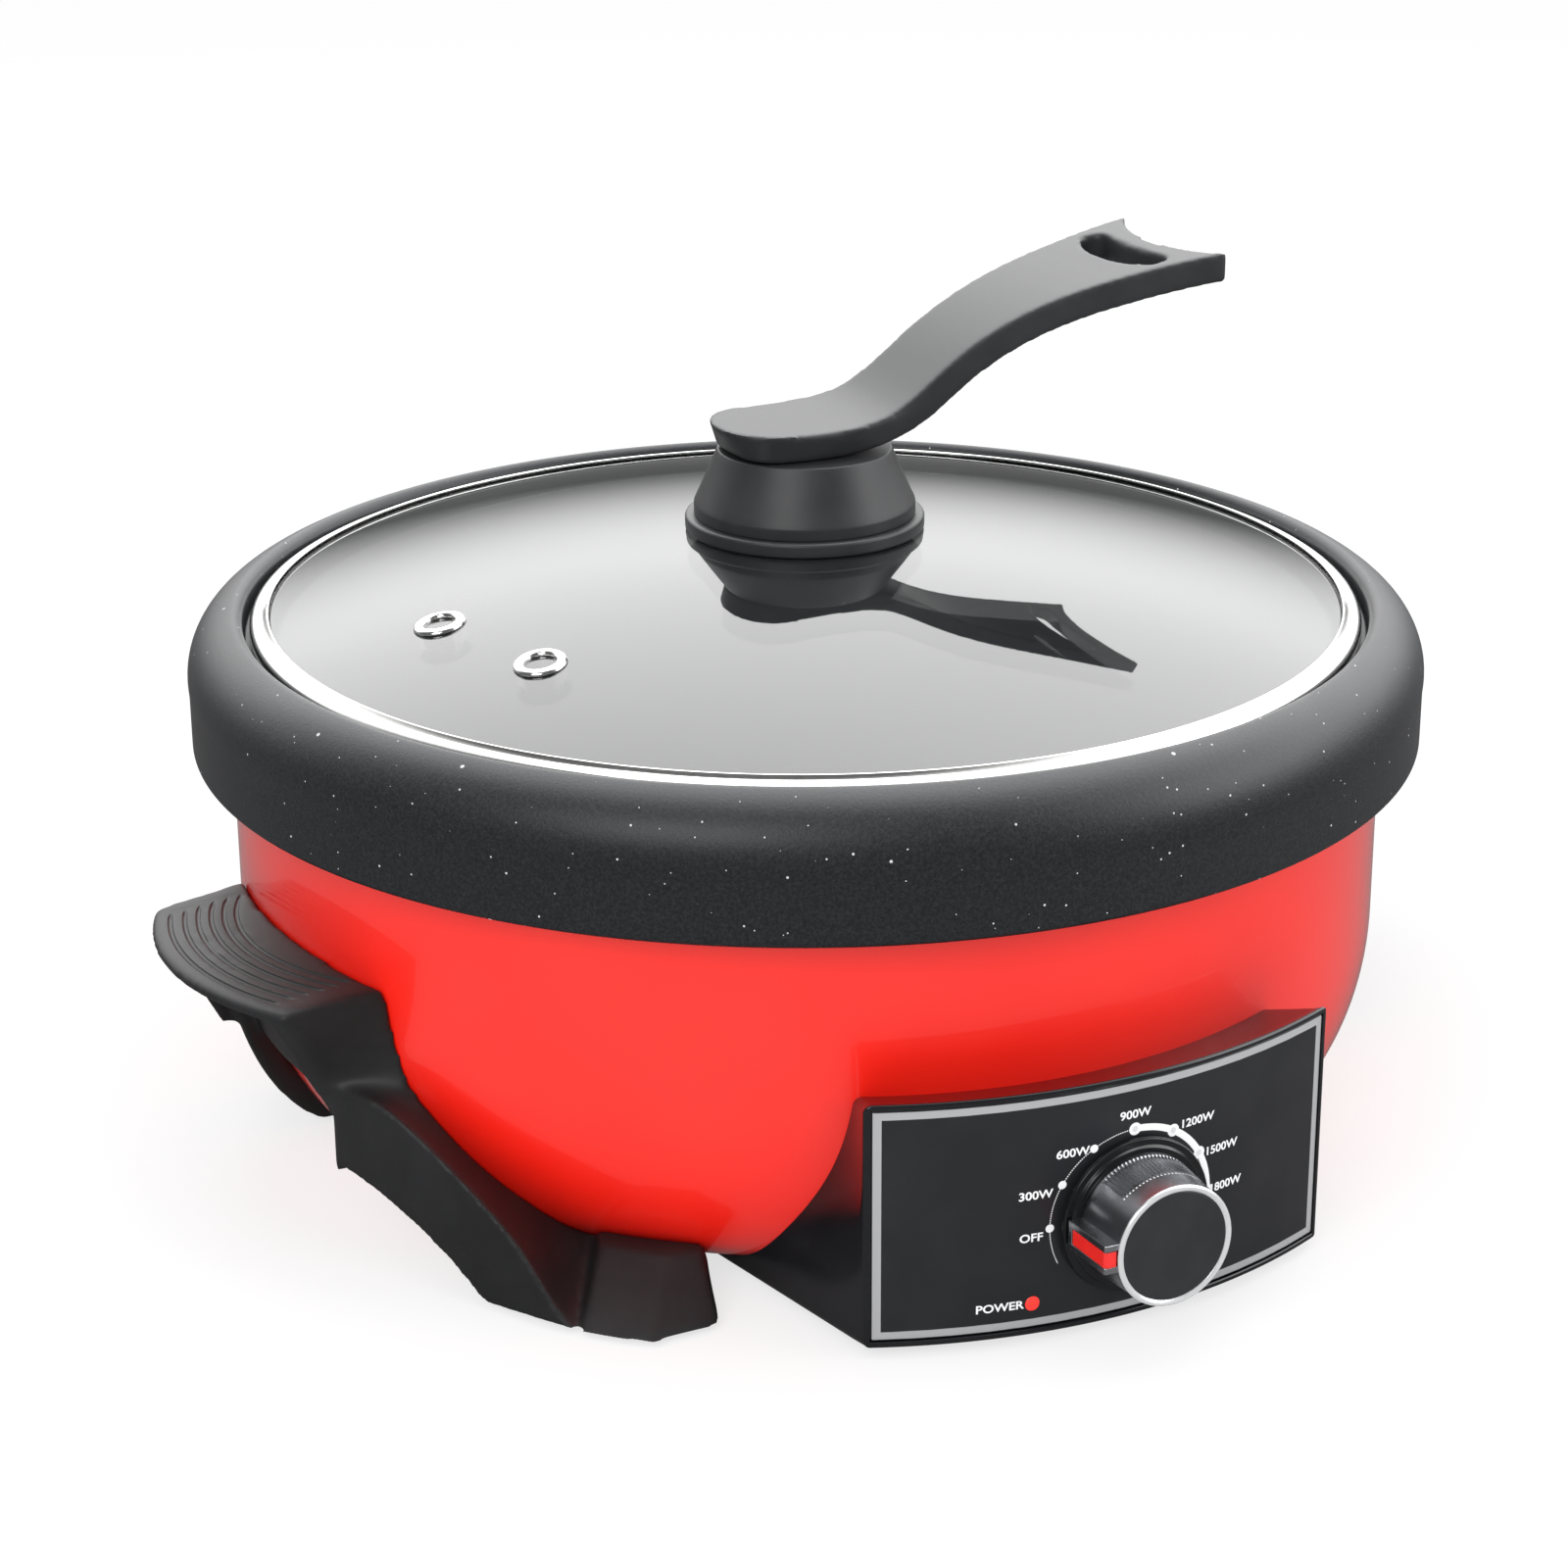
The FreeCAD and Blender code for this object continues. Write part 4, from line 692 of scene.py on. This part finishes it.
words = [("OFF", -24.0, 31.0, "RIGHT"), ("300W", -21.6, 43.0, "RIGHT"), ("600W", -11.7, 53.4, "RIGHT"),
         ("900W", 1.5, 60.9, "CENTER"), ("1200W", 15.5, 54.4, "LEFT"), ("1500W", 24.0, 44.3, "LEFT"),
         ("1800W", 25.9, 33.0, "LEFT"), ("POWER", -28.9, 12.1, "RIGHT")]
word_places, word_faces, count = [], [], 0
for word, x, z, align in words:
    places, faces = printed_word(word, x, z, align)
    word_places.append(places)
    word_faces.extend([[i + count for i in face] for face in faces])
    count += len(places)
lettering = finished_mesh("panel_words", np.vstack(word_places), word_faces, turn_out=False)
wear(lettering, paint, "base", "faceplate")

# %% [markdown]
# ## The control housing
#
# The housing frames the panel with a narrow lip and runs back into the bowl. Its rows step out of the
# recess, round the lip and along the walls. Behind the lip the top falls towards the shell, and each side
# wall twists: at the foot it spreads, further up it draws in. One smooth curve over a few heights says how
# wide it has become. Each column is followed back until it meets the bowl, and its last row is set there,
# so the joint is close all the way round.

# %% Housing
HOUSE_LOW, HOUSE_TOP, HOUSE_HALF, HOUSE_R, FALL = 3.2, 71.9, 69.0, 167.9, 0.357
HOUSE_DEEP = 65.0             # the half widths of the wall are given this far behind its front corner
HEIGHTS, HALF_WIDTHS = [0.0, 18.8, 29.0, 37.5, 45.3, 57.0, 75.0], [83.4, 81.8, 77.5, 70.7, 62.6, 51.8, 38.0]
WALL_HALF = np.polyfit(HEIGHTS, HALF_WIDTHS, 5)
LIP_STEPS = [(1.65, 2.6), (1.65, 0.35), (1.55, 0.12), (1.35, 0.0), (0.75, 0.0), (0.40, 0.10),
             (0.12, 0.38), (0.0, 0.80)]       # how far in from the outline, and how far back, in mm


def housing_at(x, z, reach):
    """Where columns from the housing's front at x, z have got to, a reach behind their front."""
    tall = HOUSE_LOW + (z - HOUSE_LOW) * (1 - FALL * reach / (HOUSE_TOP - HOUSE_LOW))
    growth = (np.polyval(WALL_HALF, np.clip(tall, 0.0, 75.0)) / HOUSE_HALF - 1) / HOUSE_DEEP
    return x * (1 + growth * reach), panel_y(x, HOUSE_R) + reach, tall


def housing_rows(outline):
    """Housing's rows from the recess to the bowl over an (n, 2) outline of its front."""
    x, z = outline.T
    reach = np.linspace(0.0, 110.0, 1101)[:, None]
    wide, back, tall = housing_at(x, z, reach)
    limit = np.where(tall > SHELL_LOW + 0.3, bowl_radius(tall) - 0.5, FLAT_R + 2.2)
    inside = np.hypot(wide, back) < limit
    end = reach[np.argmax(inside, axis=0), 0]
    rows = []
    for inset, depth in LIP_STEPS:
        drawn_x = np.clip(x, -HOUSE_HALF + inset, HOUSE_HALF - inset)
        drawn_z = np.clip(z, HOUSE_LOW + inset, HOUSE_TOP - inset)
        rows.append(np.stack([drawn_x, panel_y(drawn_x, HOUSE_R) + depth, drawn_z], -1))
    for share in np.linspace(0.0, 1.0, 14)[1:]:
        rows.append(np.stack(housing_at(x, z, 0.8 + (end - 0.8) * share), -1))
    return np.array(rows)


housing = skin("panel_housing", housing_rows(rounded_box(HOUSE_HALF, HOUSE_LOW, HOUSE_TOP, 2.2, 10, 40)),
               sharp=60.0)
wear(housing, housing_plastic, "base", "housing_plastic", "control_housing")

# %% [markdown]
# ## The dial
#
# The dial is a stack of turned pieces on one shaft: a black skirt, a metallised grip with fine flutes
# on its upper side, a bright ring and a black cap. The flutes are ripples in the grip's radius, nearly
# ten grid columns wide each. A small white spot is painted at the outer end of each flute as a painted
# highlight, where the flute's end would catch the light. The pointer's housing is a block down one
# side with a red insert that turns over onto the face.

# %% Dial helpers
def on_dial(points):
    """Carry points about the upright axis over to the dial's own axis, which comes out of the panel."""
    return np.stack([KNOB_X + points[..., 0], FACE_Y - points[..., 2], KNOB_Z + points[..., 1]], -1)


def dial_piece(name, outline, closed=True, columns=160, sharp=50.0):
    """Surface of revolution about the dial's shaft from an outline of (radius, distance out)."""
    return skin(name, on_dial(carried_round(outline, columns)), wrap_rows=closed, sharp=sharp)


def side_block(name, blocks, width):
    """Blocks on the dial's left side: outlines of (offset, distance out), each between two heights."""
    places, faces = [], []
    for outline, low, high in blocks:
        first, n = len(places), len(outline)
        for z in (low, high):
            places += [(KNOB_X + x, FACE_Y - out, KNOB_Z + z) for x, out in outline]
        faces += [[first + i for i in range(n)], [first + n + i for i in range(n)]]
        faces += grid_faces(2, n, first)
    piece = finished_mesh(name, np.array(places), faces, sharp=30.0)
    bevel = piece.modifiers.new("edges", "BEVEL")
    bevel.width, bevel.segments = width / 1000.0, 3
    bevel.limit_method, bevel.angle_limit = "ANGLE", radians(25)
    bevel.harden_normals = True
    return piece


# %% Dial
GRIP_LOW, GRIP_HIGH, GRIP_R, GRIP_ROOT_R = 3.2, 20.3, 16.8, 17.9
FLUTE, FIRST_FLUTE, FLUTED_HALF = 3.652, 46.174, 42.0         # degrees round the grip
FLUTE_DEEP, FLUTED_LOW, FLUTED_HIGH = 0.42, 4.0, 13.4
# Painted highlights: the bright dimples are white spots painted at this radius, just past the flutes' outer
# ends, where light catches the flute ends.
GLINT_RING_R, GLINT_OUT = 17.0, 14.1           # a row of bright dimples at the flutes' ends

skirt_outline = steps_of((3.2, 0.7), (20.9, 0.7), ((21.5, 0.9), (21.7, 1.3)), (21.4, 2.2), (19.8, 2.35),
                         (19.4, 3.2), (3.2, 3.2), count=6)
skirt_finish = moulded("dial skirt black", (0.006, 0.0065, 0.0075), 0.16, 1.0, 0.004)
dial_skirt = dial_piece("dial_skirt", softened(skirt_outline, 0.22, stride=2.0, turn=10.0))
wear(dial_skirt, skirt_finish, "knob", "knob_black", "knob_skirt")

grip_metal = Finish("metallised grip", (0.50, 0.51, 0.54), 0.24, Metallic=1.0)
gx, gy, gz = grip_metal.parts(grip_metal.place)
out = (gy + (-FACE_Y - AXIS[1])) * -1.0
bearing = grip_metal.sum("ARCTAN2", gz - KNOB_Z, gx - KNOB_X) * (180.0 / pi)
beat = grip_metal.node("ShaderNodeMath", {"operation": "FRACT"}, {0: (bearing - FIRST_FLUTE) / FLUTE})
around = (beat - 0.5) * (radians(FLUTE) * GLINT_RING_R)
along = out - GLINT_OUT
# Painted highlight: a small white, less metallic spot at each flute's outer end, on the upper side only,
# stands for the light caught there.
painted_glint = 1.0 - ((around * around + along * along) ** 0.5).step(0.20, 0.34)
top_side = 1.0 - grip_metal.sum("ABSOLUTE", bearing - 90.0, 0.0).step(FLUTED_HALF, FLUTED_HALF + 1.0)
grain = grip_metal.noise(0.35, 2.0)
tint = grip_metal.mixed(grain, (0.44, 0.45, 0.48), (0.54, 0.55, 0.58))
grip_metal.give("Base Color", grip_metal.mixed(painted_glint * top_side, tint, (0.92, 0.92, 0.92)))
grip_metal.give("Metallic", 1.0 - painted_glint * top_side * 0.8)
grip_metal.give("Roughness", grain * 0.10 + 0.20)

levels = np.r_[3.2, 3.35, 3.6, np.linspace(4.0, 5.0, 5), np.linspace(5.5, 12.0, 6),
               np.linspace(12.4, 13.4, 6), np.linspace(14.0, 19.8, 5), 20.1, 20.3, 20.3]
turns = np.linspace(0.0, 360.0, 960, endpoint=False)
body = GRIP_ROOT_R + (GRIP_R - 0.3 - GRIP_ROOT_R) * (levels - GRIP_LOW) / (GRIP_HIGH - GRIP_LOW)
body[:2] -= (0.25, 0.08)
body[-3:] -= (0.0, 0.15, 1.3)
lane = np.clip((np.minimum(levels - FLUTED_LOW, FLUTED_HIGH - levels)) / 0.7, 0.0, 1.0)[:, None]
sector = np.clip((FLUTED_HALF - np.abs(turns - 90.0)) / 1.5, 0.0, 1.0)
ripple = 0.5 - 0.5 * np.cos(2 * pi * (turns - FIRST_FLUTE) / FLUTE)
radius = body[:, None] - FLUTE_DEEP * lane * sector * ripple
angle = np.radians(turns)
grip_points = np.stack([radius * np.cos(angle), radius * np.sin(angle), levels[:, None] + 0 * angle], -1)
grip = skin("dial_grip", on_dial(grip_points), sharp=70.0)
wear(grip, grip_metal, "knob", "knob_metallised", "knob_barrel")
cheek = [(-13.0, 3.3), (-21.05, 3.3), (-20.25, 19.8), (-19.75, 20.3), (-13.0, 20.3)]
bed = [(-13.0, 3.3), (-21.05, 3.3), (-20.97, 4.9), (-19.75, 5.0), (-18.95, 18.9), (-13.0, 18.9)]
fin = side_block("pointer_housing", [(cheek, -4.0, -2.2), (cheek, 2.2, 4.0), (bed, -2.4, 2.4)], 0.22)
wear(fin, grip_metal, "knob", "knob_metallised")
red_plastic = Finish("red insert", (0.72, 0.018, 0.014), 0.28, Coat_Weight=0.3, Coat_Roughness=0.1)
cloud = red_plastic.noise(3.0, 2.0)
red_plastic.give("Base Color", red_plastic.mixed(cloud, (0.68, 0.014, 0.012), (0.78, 0.022, 0.017)))
insert = [(-19.6, 5.1), (-20.85, 5.1), (-20.3, 19.6), (-19.6, 20.45), (-16.95, 20.45), (-16.95, 19.0),
          (-18.8, 19.0)]
pointer = side_block("pointer_insert", [(insert, -2.12, 2.12)], 0.2)
wear(pointer, red_plastic, "knob", "pointer_red", "knob_pointer")

trim_white = Finish("bright trim", (0.86, 0.87, 0.88), 0.22, Metallic=0.55)
trim_white.give("Roughness", trim_white.noise(1.5, 2.0) * 0.06 + 0.18)
trim_outline = steps_of((15.1, 20.3), (16.6, 20.3), (16.8, 20.7), ((16.3, 21.2), (15.6, 21.1)),
                        (15.1, 20.8), count=6)
trim = dial_piece("dial_trim", softened(trim_outline, 0.12, stride=2.0, turn=14.0), columns=200)
wear(trim, trim_white, "knob", "knob_metallised", "knob_trim_ring")
cap_finish = moulded("dial cap black", (0.020, 0.0215, 0.0245), 0.34, 0.30, 0.006)
cap_outline = steps_of((0.0, 18.75), (15.05, 18.75), (15.05, 20.65), ((14.9, 20.8), (14.5, 20.85)),
                       (0.0, 21.0), count=6)
cap_outline = softened(cap_outline, 0.15, closed=False, stride=2.0, turn=10.0)
cap = dial_piece("dial_cap", cap_outline, closed=False, columns=200)
wear(cap, cap_finish, "knob", "knob_black", "knob_cap")

# %% [markdown]
# The lamp's lens is a low dome of translucent red plastic, and it glows a little as if the mains were on.

# %% Lens
lens_red = Finish("lens red", (0.80, 0.030, 0.022), 0.22, Emission_Strength=0.35)
glow = lens_red.noise(2.0, 1.0)
lens_red.give("Emission Color", lens_red.mixed(glow, (0.80, 0.04, 0.03), (0.95, 0.07, 0.05)))
lens_outline = steps_of((0.0, -3.0), (3.4, -3.0), (3.4, -2.25), (2.35, -2.25), (2.35, 0.2),
                        ((1.9, 0.6), (1.2, 0.8)), (0.0, 0.9), count=6)
lens_points = carried_round(softened(lens_outline, 0.1, closed=False, stride=1.0, turn=10.0), 64)
lens_points = np.stack([LAMP_X + lens_points[..., 0], panel_y(LAMP_X) + 0.55 - lens_points[..., 2],
                        LAMP_Z + lens_points[..., 1]], -1)
lens = skin("lamp_lens", lens_points, sharp=40.0)
wear(lens, lens_red, "base", "lens_red", "indicator_lens")

# %% [markdown]
# ## The vents
#
# Two pressed eyelets let the steam out. Each is turned about its own axis, which stands square to the
# glass where the eyelet sits.

# %% Vents
VENT_R, VENT_ANGLES = 116.0, (-176.0, -153.5)


def on_vent(points, angle):
    """Carry points about the upright axis over to a vent's own axis, which stands square to the dome."""
    spot = np.array([VENT_R * cos(radians(angle)), VENT_R * sin(radians(angle)), float(dome_z(VENT_R))])
    axis = (spot - [0.0, 0.0, DOME_Z]) / DOME
    across = np.cross(axis, [0.0, 0.0, 1.0])
    across /= np.linalg.norm(across)
    return spot + points @ np.array([across, np.cross(axis, across), axis])


vent_outline = steps_of((4.3, -5.0), (6.8, -5.0), (6.8, -4.15), (5.4, -4.15), (5.4, 0.15), (7.4, 0.15),
                        ((7.0, 1.0), (6.2, 1.35)), ((5.0, 1.3), (4.3, 0.4)))
eyelet = carried_round(softened(vent_outline, 0.12, stride=1.0, turn=14.0), 72)
rows, columns = eyelet.shape[:2]
vent_points = np.vstack([on_vent(eyelet, angle).reshape(-1, 3) for angle in VENT_ANGLES])
vent_faces = grid_faces(rows, columns, 0, True) + grid_faces(rows, columns, rows * columns, True)
vents = finished_mesh("vent_eyelets", vent_points, vent_faces, sharp=60.0)
wear(vents, bright_steel, "lid", "bright_steel", "vent_grommets")

# %% [markdown]
# ## Pieces that a mould rounds off
#
# The handle and the side frames are moulded, and every edge on them is rounded, where two or three
# surfaces meet in long uneven curves. Such roundings are hard to write down edge by edge. The solid is
# wrapped instead in an even net of small squares, and the net is relaxed a few times, as if the edges had
# been sanded. Flat and gently curved faces keep their place and only the edges give way.

# %% Sanded copies
def sanded(name, node, square, rounds, cutter=None):
    """Copy of a CAD node with its edges relaxed, and a cutter's shape taken out of it afterwards."""
    work = bmesh.new()
    work.from_mesh(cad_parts[node].data)
    bmesh.ops.remove_doubles(work, verts=work.verts, dist=2e-6)
    data = bpy.data.meshes.new(name)
    work.to_mesh(data)
    work.free()
    rough = add_object(name, data)
    net = rough.modifiers.new("net", "REMESH")
    net.mode, net.voxel_size, net.adaptivity = "VOXEL", square / 1000.0, 0.0
    relax = rough.modifiers.new("relax", "SMOOTH")
    relax.factor, relax.iterations = 0.5, rounds
    if cutter is not None:
        cut = rough.modifiers.new("cut", "BOOLEAN")
        cut.operation, cut.object, cut.solver = "DIFFERENCE", cutter, "EXACT"
    seen = rough.evaluated_get(bpy.context.evaluated_depsgraph_get())
    final = bpy.data.meshes.new_from_object(seen)
    bpy.data.objects.remove(rough)
    final.name = name
    smooth(final, 42.0)
    return add_object(name, final)


# %% Lid handle
bar = sanded("cranked_bar", "lid_handle", 0.75, 14)
wear(bar, handle_plastic, "lid", "handle_plastic", "lid_handle")

# %% [markdown]
# The hand rests have six arched grooves for grip. They are cut after the sanding, so that their edges
# stay crisp: each is the path of a small ball along an arc that sinks in only between two ends.

# %% Side frames
WING_X, WING_TOP, WING_FALL, FRAME_TURN = -114.2, 77.7, 0.07, 5.8
GROOVES = (81.4, 77.4, 73.7, 70.1, 66.5, 63.1)
GROOVE_HALF, GROOVE_BALL = 38.5, 0.9


def groove_cutters(side, along_count=64, ball_count=12):
    """Bent rods along the grooves of the left (1) hand rest, or the right (-1), half a turn away."""
    points, faces = [], []
    turn = radians(FRAME_TURN)
    ball = np.linspace(0.0, 2 * pi, ball_count, endpoint=False)
    for radius in GROOVES:
        ends = np.arcsin(GROOVE_HALF / radius)
        along = np.linspace(-ends, ends, along_count)[:, None]
        thick = GROOVE_BALL * np.clip(np.cos(along / ends * pi / 2) * 6.0, 0.12, 1.0)
        r = radius + thick * np.cos(ball)
        x, y = WING_X - r * np.cos(along), r * np.sin(along)
        z = WING_TOP - (radius - 52.0) * WING_FALL + 0.25 + thick * np.sin(ball)
        first = len(points) * along_count * ball_count
        last = first + (along_count - 1) * ball_count
        faces += grid_faces(along_count, ball_count, first)
        faces += [list(range(end, end + ball_count)) for end in (first, last)]
        turned_x, turned_y = x * cos(turn) - y * sin(turn), x * sin(turn) + y * cos(turn)
        points.append(np.stack([side * turned_x, side * turned_y, z], -1).reshape(-1, 3))
    return finished_mesh("cutter", np.vstack(points), faces)


for side, word in ((1, "left"), (-1, "right")):
    rods = groove_cutters(side)
    rest = sanded(word + "_frame", word + "_side_frame", 0.9, 22, rods)
    bpy.data.objects.remove(rods)
    wear(rest, frame_plastic, "base", "black_plastic", word + "_side_frame")

# %% [markdown]
# ## Everything that keeps its CAD shape
#
# Screws, springs, the element and the parts inside are plain enough that their solids already have
# the right form. They only get the finish they would have.

# %% CAD nodes
kept = {
    plated_steel: ("lid_screw", "switch_shaft", "switch_nut", "stand_offs", "sensor_spring", "sensor_bracket",
                   "frame_screws", "base_screws"),
    frame_plastic: ("shell_top_ring", "base_cover", "power_regulator", "cord_outlet"),
    pale_plastic: ("thermal_fuse", "terminal_block", "indicator_lamp"),
    bush_rubber: ("foot_pads", "cord_gland"), sheet_metal: ("heat_shield", "sensor_cup"),
    silicone: ("lid_knob_gasket",), bright_steel: ("lid_cup_washer",), cast_metal: ("heating_plate",),
    dull_steel: ("heating_element",)}
for finish, nodes in kept.items():
    for node in nodes:
        coat(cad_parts[node].data, finish)

# %% [markdown]
# ## Studio
#
# Product pictures stand on a pale floor that runs out to white. The floor keeps its shadow but shows
# nearly white to the camera. In reflections it is dark, as if black card lay round the object, and the
# sky behind the object is bright, so that the glass shines. Broad soft lamps light the enamel.

# %% Floor and world
floor_data = bpy.data.meshes.new("floor")
floor_data.from_pydata([(-30, -30, 0), (30, -30, 0), (30, 30, 0), (-30, 30, 0)], [], [(0, 1, 2, 3)])
floor = add_object("floor", floor_data)
floor_paint = bpy.data.materials.new("floor")
floor_paint.use_nodes = True
tree = floor_paint.node_tree
tree.nodes.clear()
rays = add_node(tree, "ShaderNodeLightPath", {}, {}).outputs
under = add_node(tree, "ShaderNodeBsdfDiffuse", {}, {"Color": (0.86, 0.86, 0.86, 1)})
white = add_node(tree, "ShaderNodeEmission", {}, {})
dark = add_node(tree, "ShaderNodeEmission", {}, {"Strength": 0.10})
for ray, over, share in (("Is Camera Ray", white, 0.72), ("Is Glossy Ray", dark, 0.85)):
    shown = add_node(tree, "ShaderNodeMath", {"operation": "MULTIPLY"}, {0: rays[ray], 1: share})
    under = add_node(tree, "ShaderNodeMixShader", {}, {0: shown.outputs[0], 1: under.outputs[0],
                                                       2: over.outputs[0]})
add_node(tree, "ShaderNodeOutputMaterial", {}, {0: under.outputs[0]})
floor_data.materials.append(floor_paint)
floor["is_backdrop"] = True

world = bpy.data.worlds.new("studio")
bpy.context.scene.world = world
world.use_nodes = True
tree = world.node_tree
rays = add_node(tree, "ShaderNodeLightPath", {}, {}).outputs
direction = add_node(tree, "ShaderNodeTexCoord", {}, {}).outputs["Generated"]


def facing(vector, low, high, strongest):
    """Strength that rises from 0 as the direction turns towards a vector."""
    along = add_node(tree, "ShaderNodeVectorMath", {"operation": "DOT_PRODUCT"}, {0: direction, 1: vector})
    rise = add_node(tree, "ShaderNodeMapRange", {"interpolation_type": "SMOOTHSTEP"},
                    {"Value": along.outputs["Value"], "From Min": low, "From Max": high, "To Max": strongest})
    return rise.outputs[0]


def sky_sum(operation, a, b):
    return add_node(tree, "ShaderNodeMath", {"operation": operation}, {0: a, 1: b}).outputs[0]


behind = sky_sum("MULTIPLY", facing((0, 0, 1), -0.04, 0.40, 1.0), facing((0.72, 0.69, 0), -0.35, 0.75, 3.9))
glossy = sky_sum("MULTIPLY", sky_sum("ADD", behind, 0.14), rays["Is Glossy Ray"])
diffuse = sky_sum("MULTIPLY", rays["Is Diffuse Ray"], 0.95)
seen = sky_sum("MAXIMUM", rays["Is Camera Ray"], rays["Is Transmission Ray"])
strength = sky_sum("MAXIMUM", sky_sum("MAXIMUM", glossy, diffuse), seen)
background = tree.nodes["Background"]
connect(tree, background.inputs["Strength"], strength)
connect(tree, background.inputs["Color"], (1, 1, 1, 1))

# %% Lamps
LAMPS_AIM = (0, 0, 0.1)


def softbox(name, place, size, power):
    """Area lamp of (width, height) metres at a place, turned to face the object."""
    data = bpy.data.lights.new(name, "AREA")
    data.shape = "RECTANGLE"
    data.size, data.size_y = size
    data.energy = power
    lamp = add_object(name, data)
    lamp.location = place
    lamp.rotation_euler = (Vector(LAMPS_AIM) - Vector(place)).to_track_quat("-Z", "Y").to_euler()


softbox("key", (-1.5, -1.3, 1.5), (1.3, 1.1), 24)
softbox("top", (0.1, 0.3, 2.0), (1.8, 1.4), 16)
softbox("fill", (1.7, -1.4, 0.9), (1.0, 1.4), 14)

# %% [markdown]
# ## Last settings
#
# The view transform is Standard, so a colour renders as it is written. The box of the finished model
# is worked out at the end.

# %% Finish
bpy.context.scene.view_settings.view_transform = "Standard"
bpy.context.view_layer.update()
low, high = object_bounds()
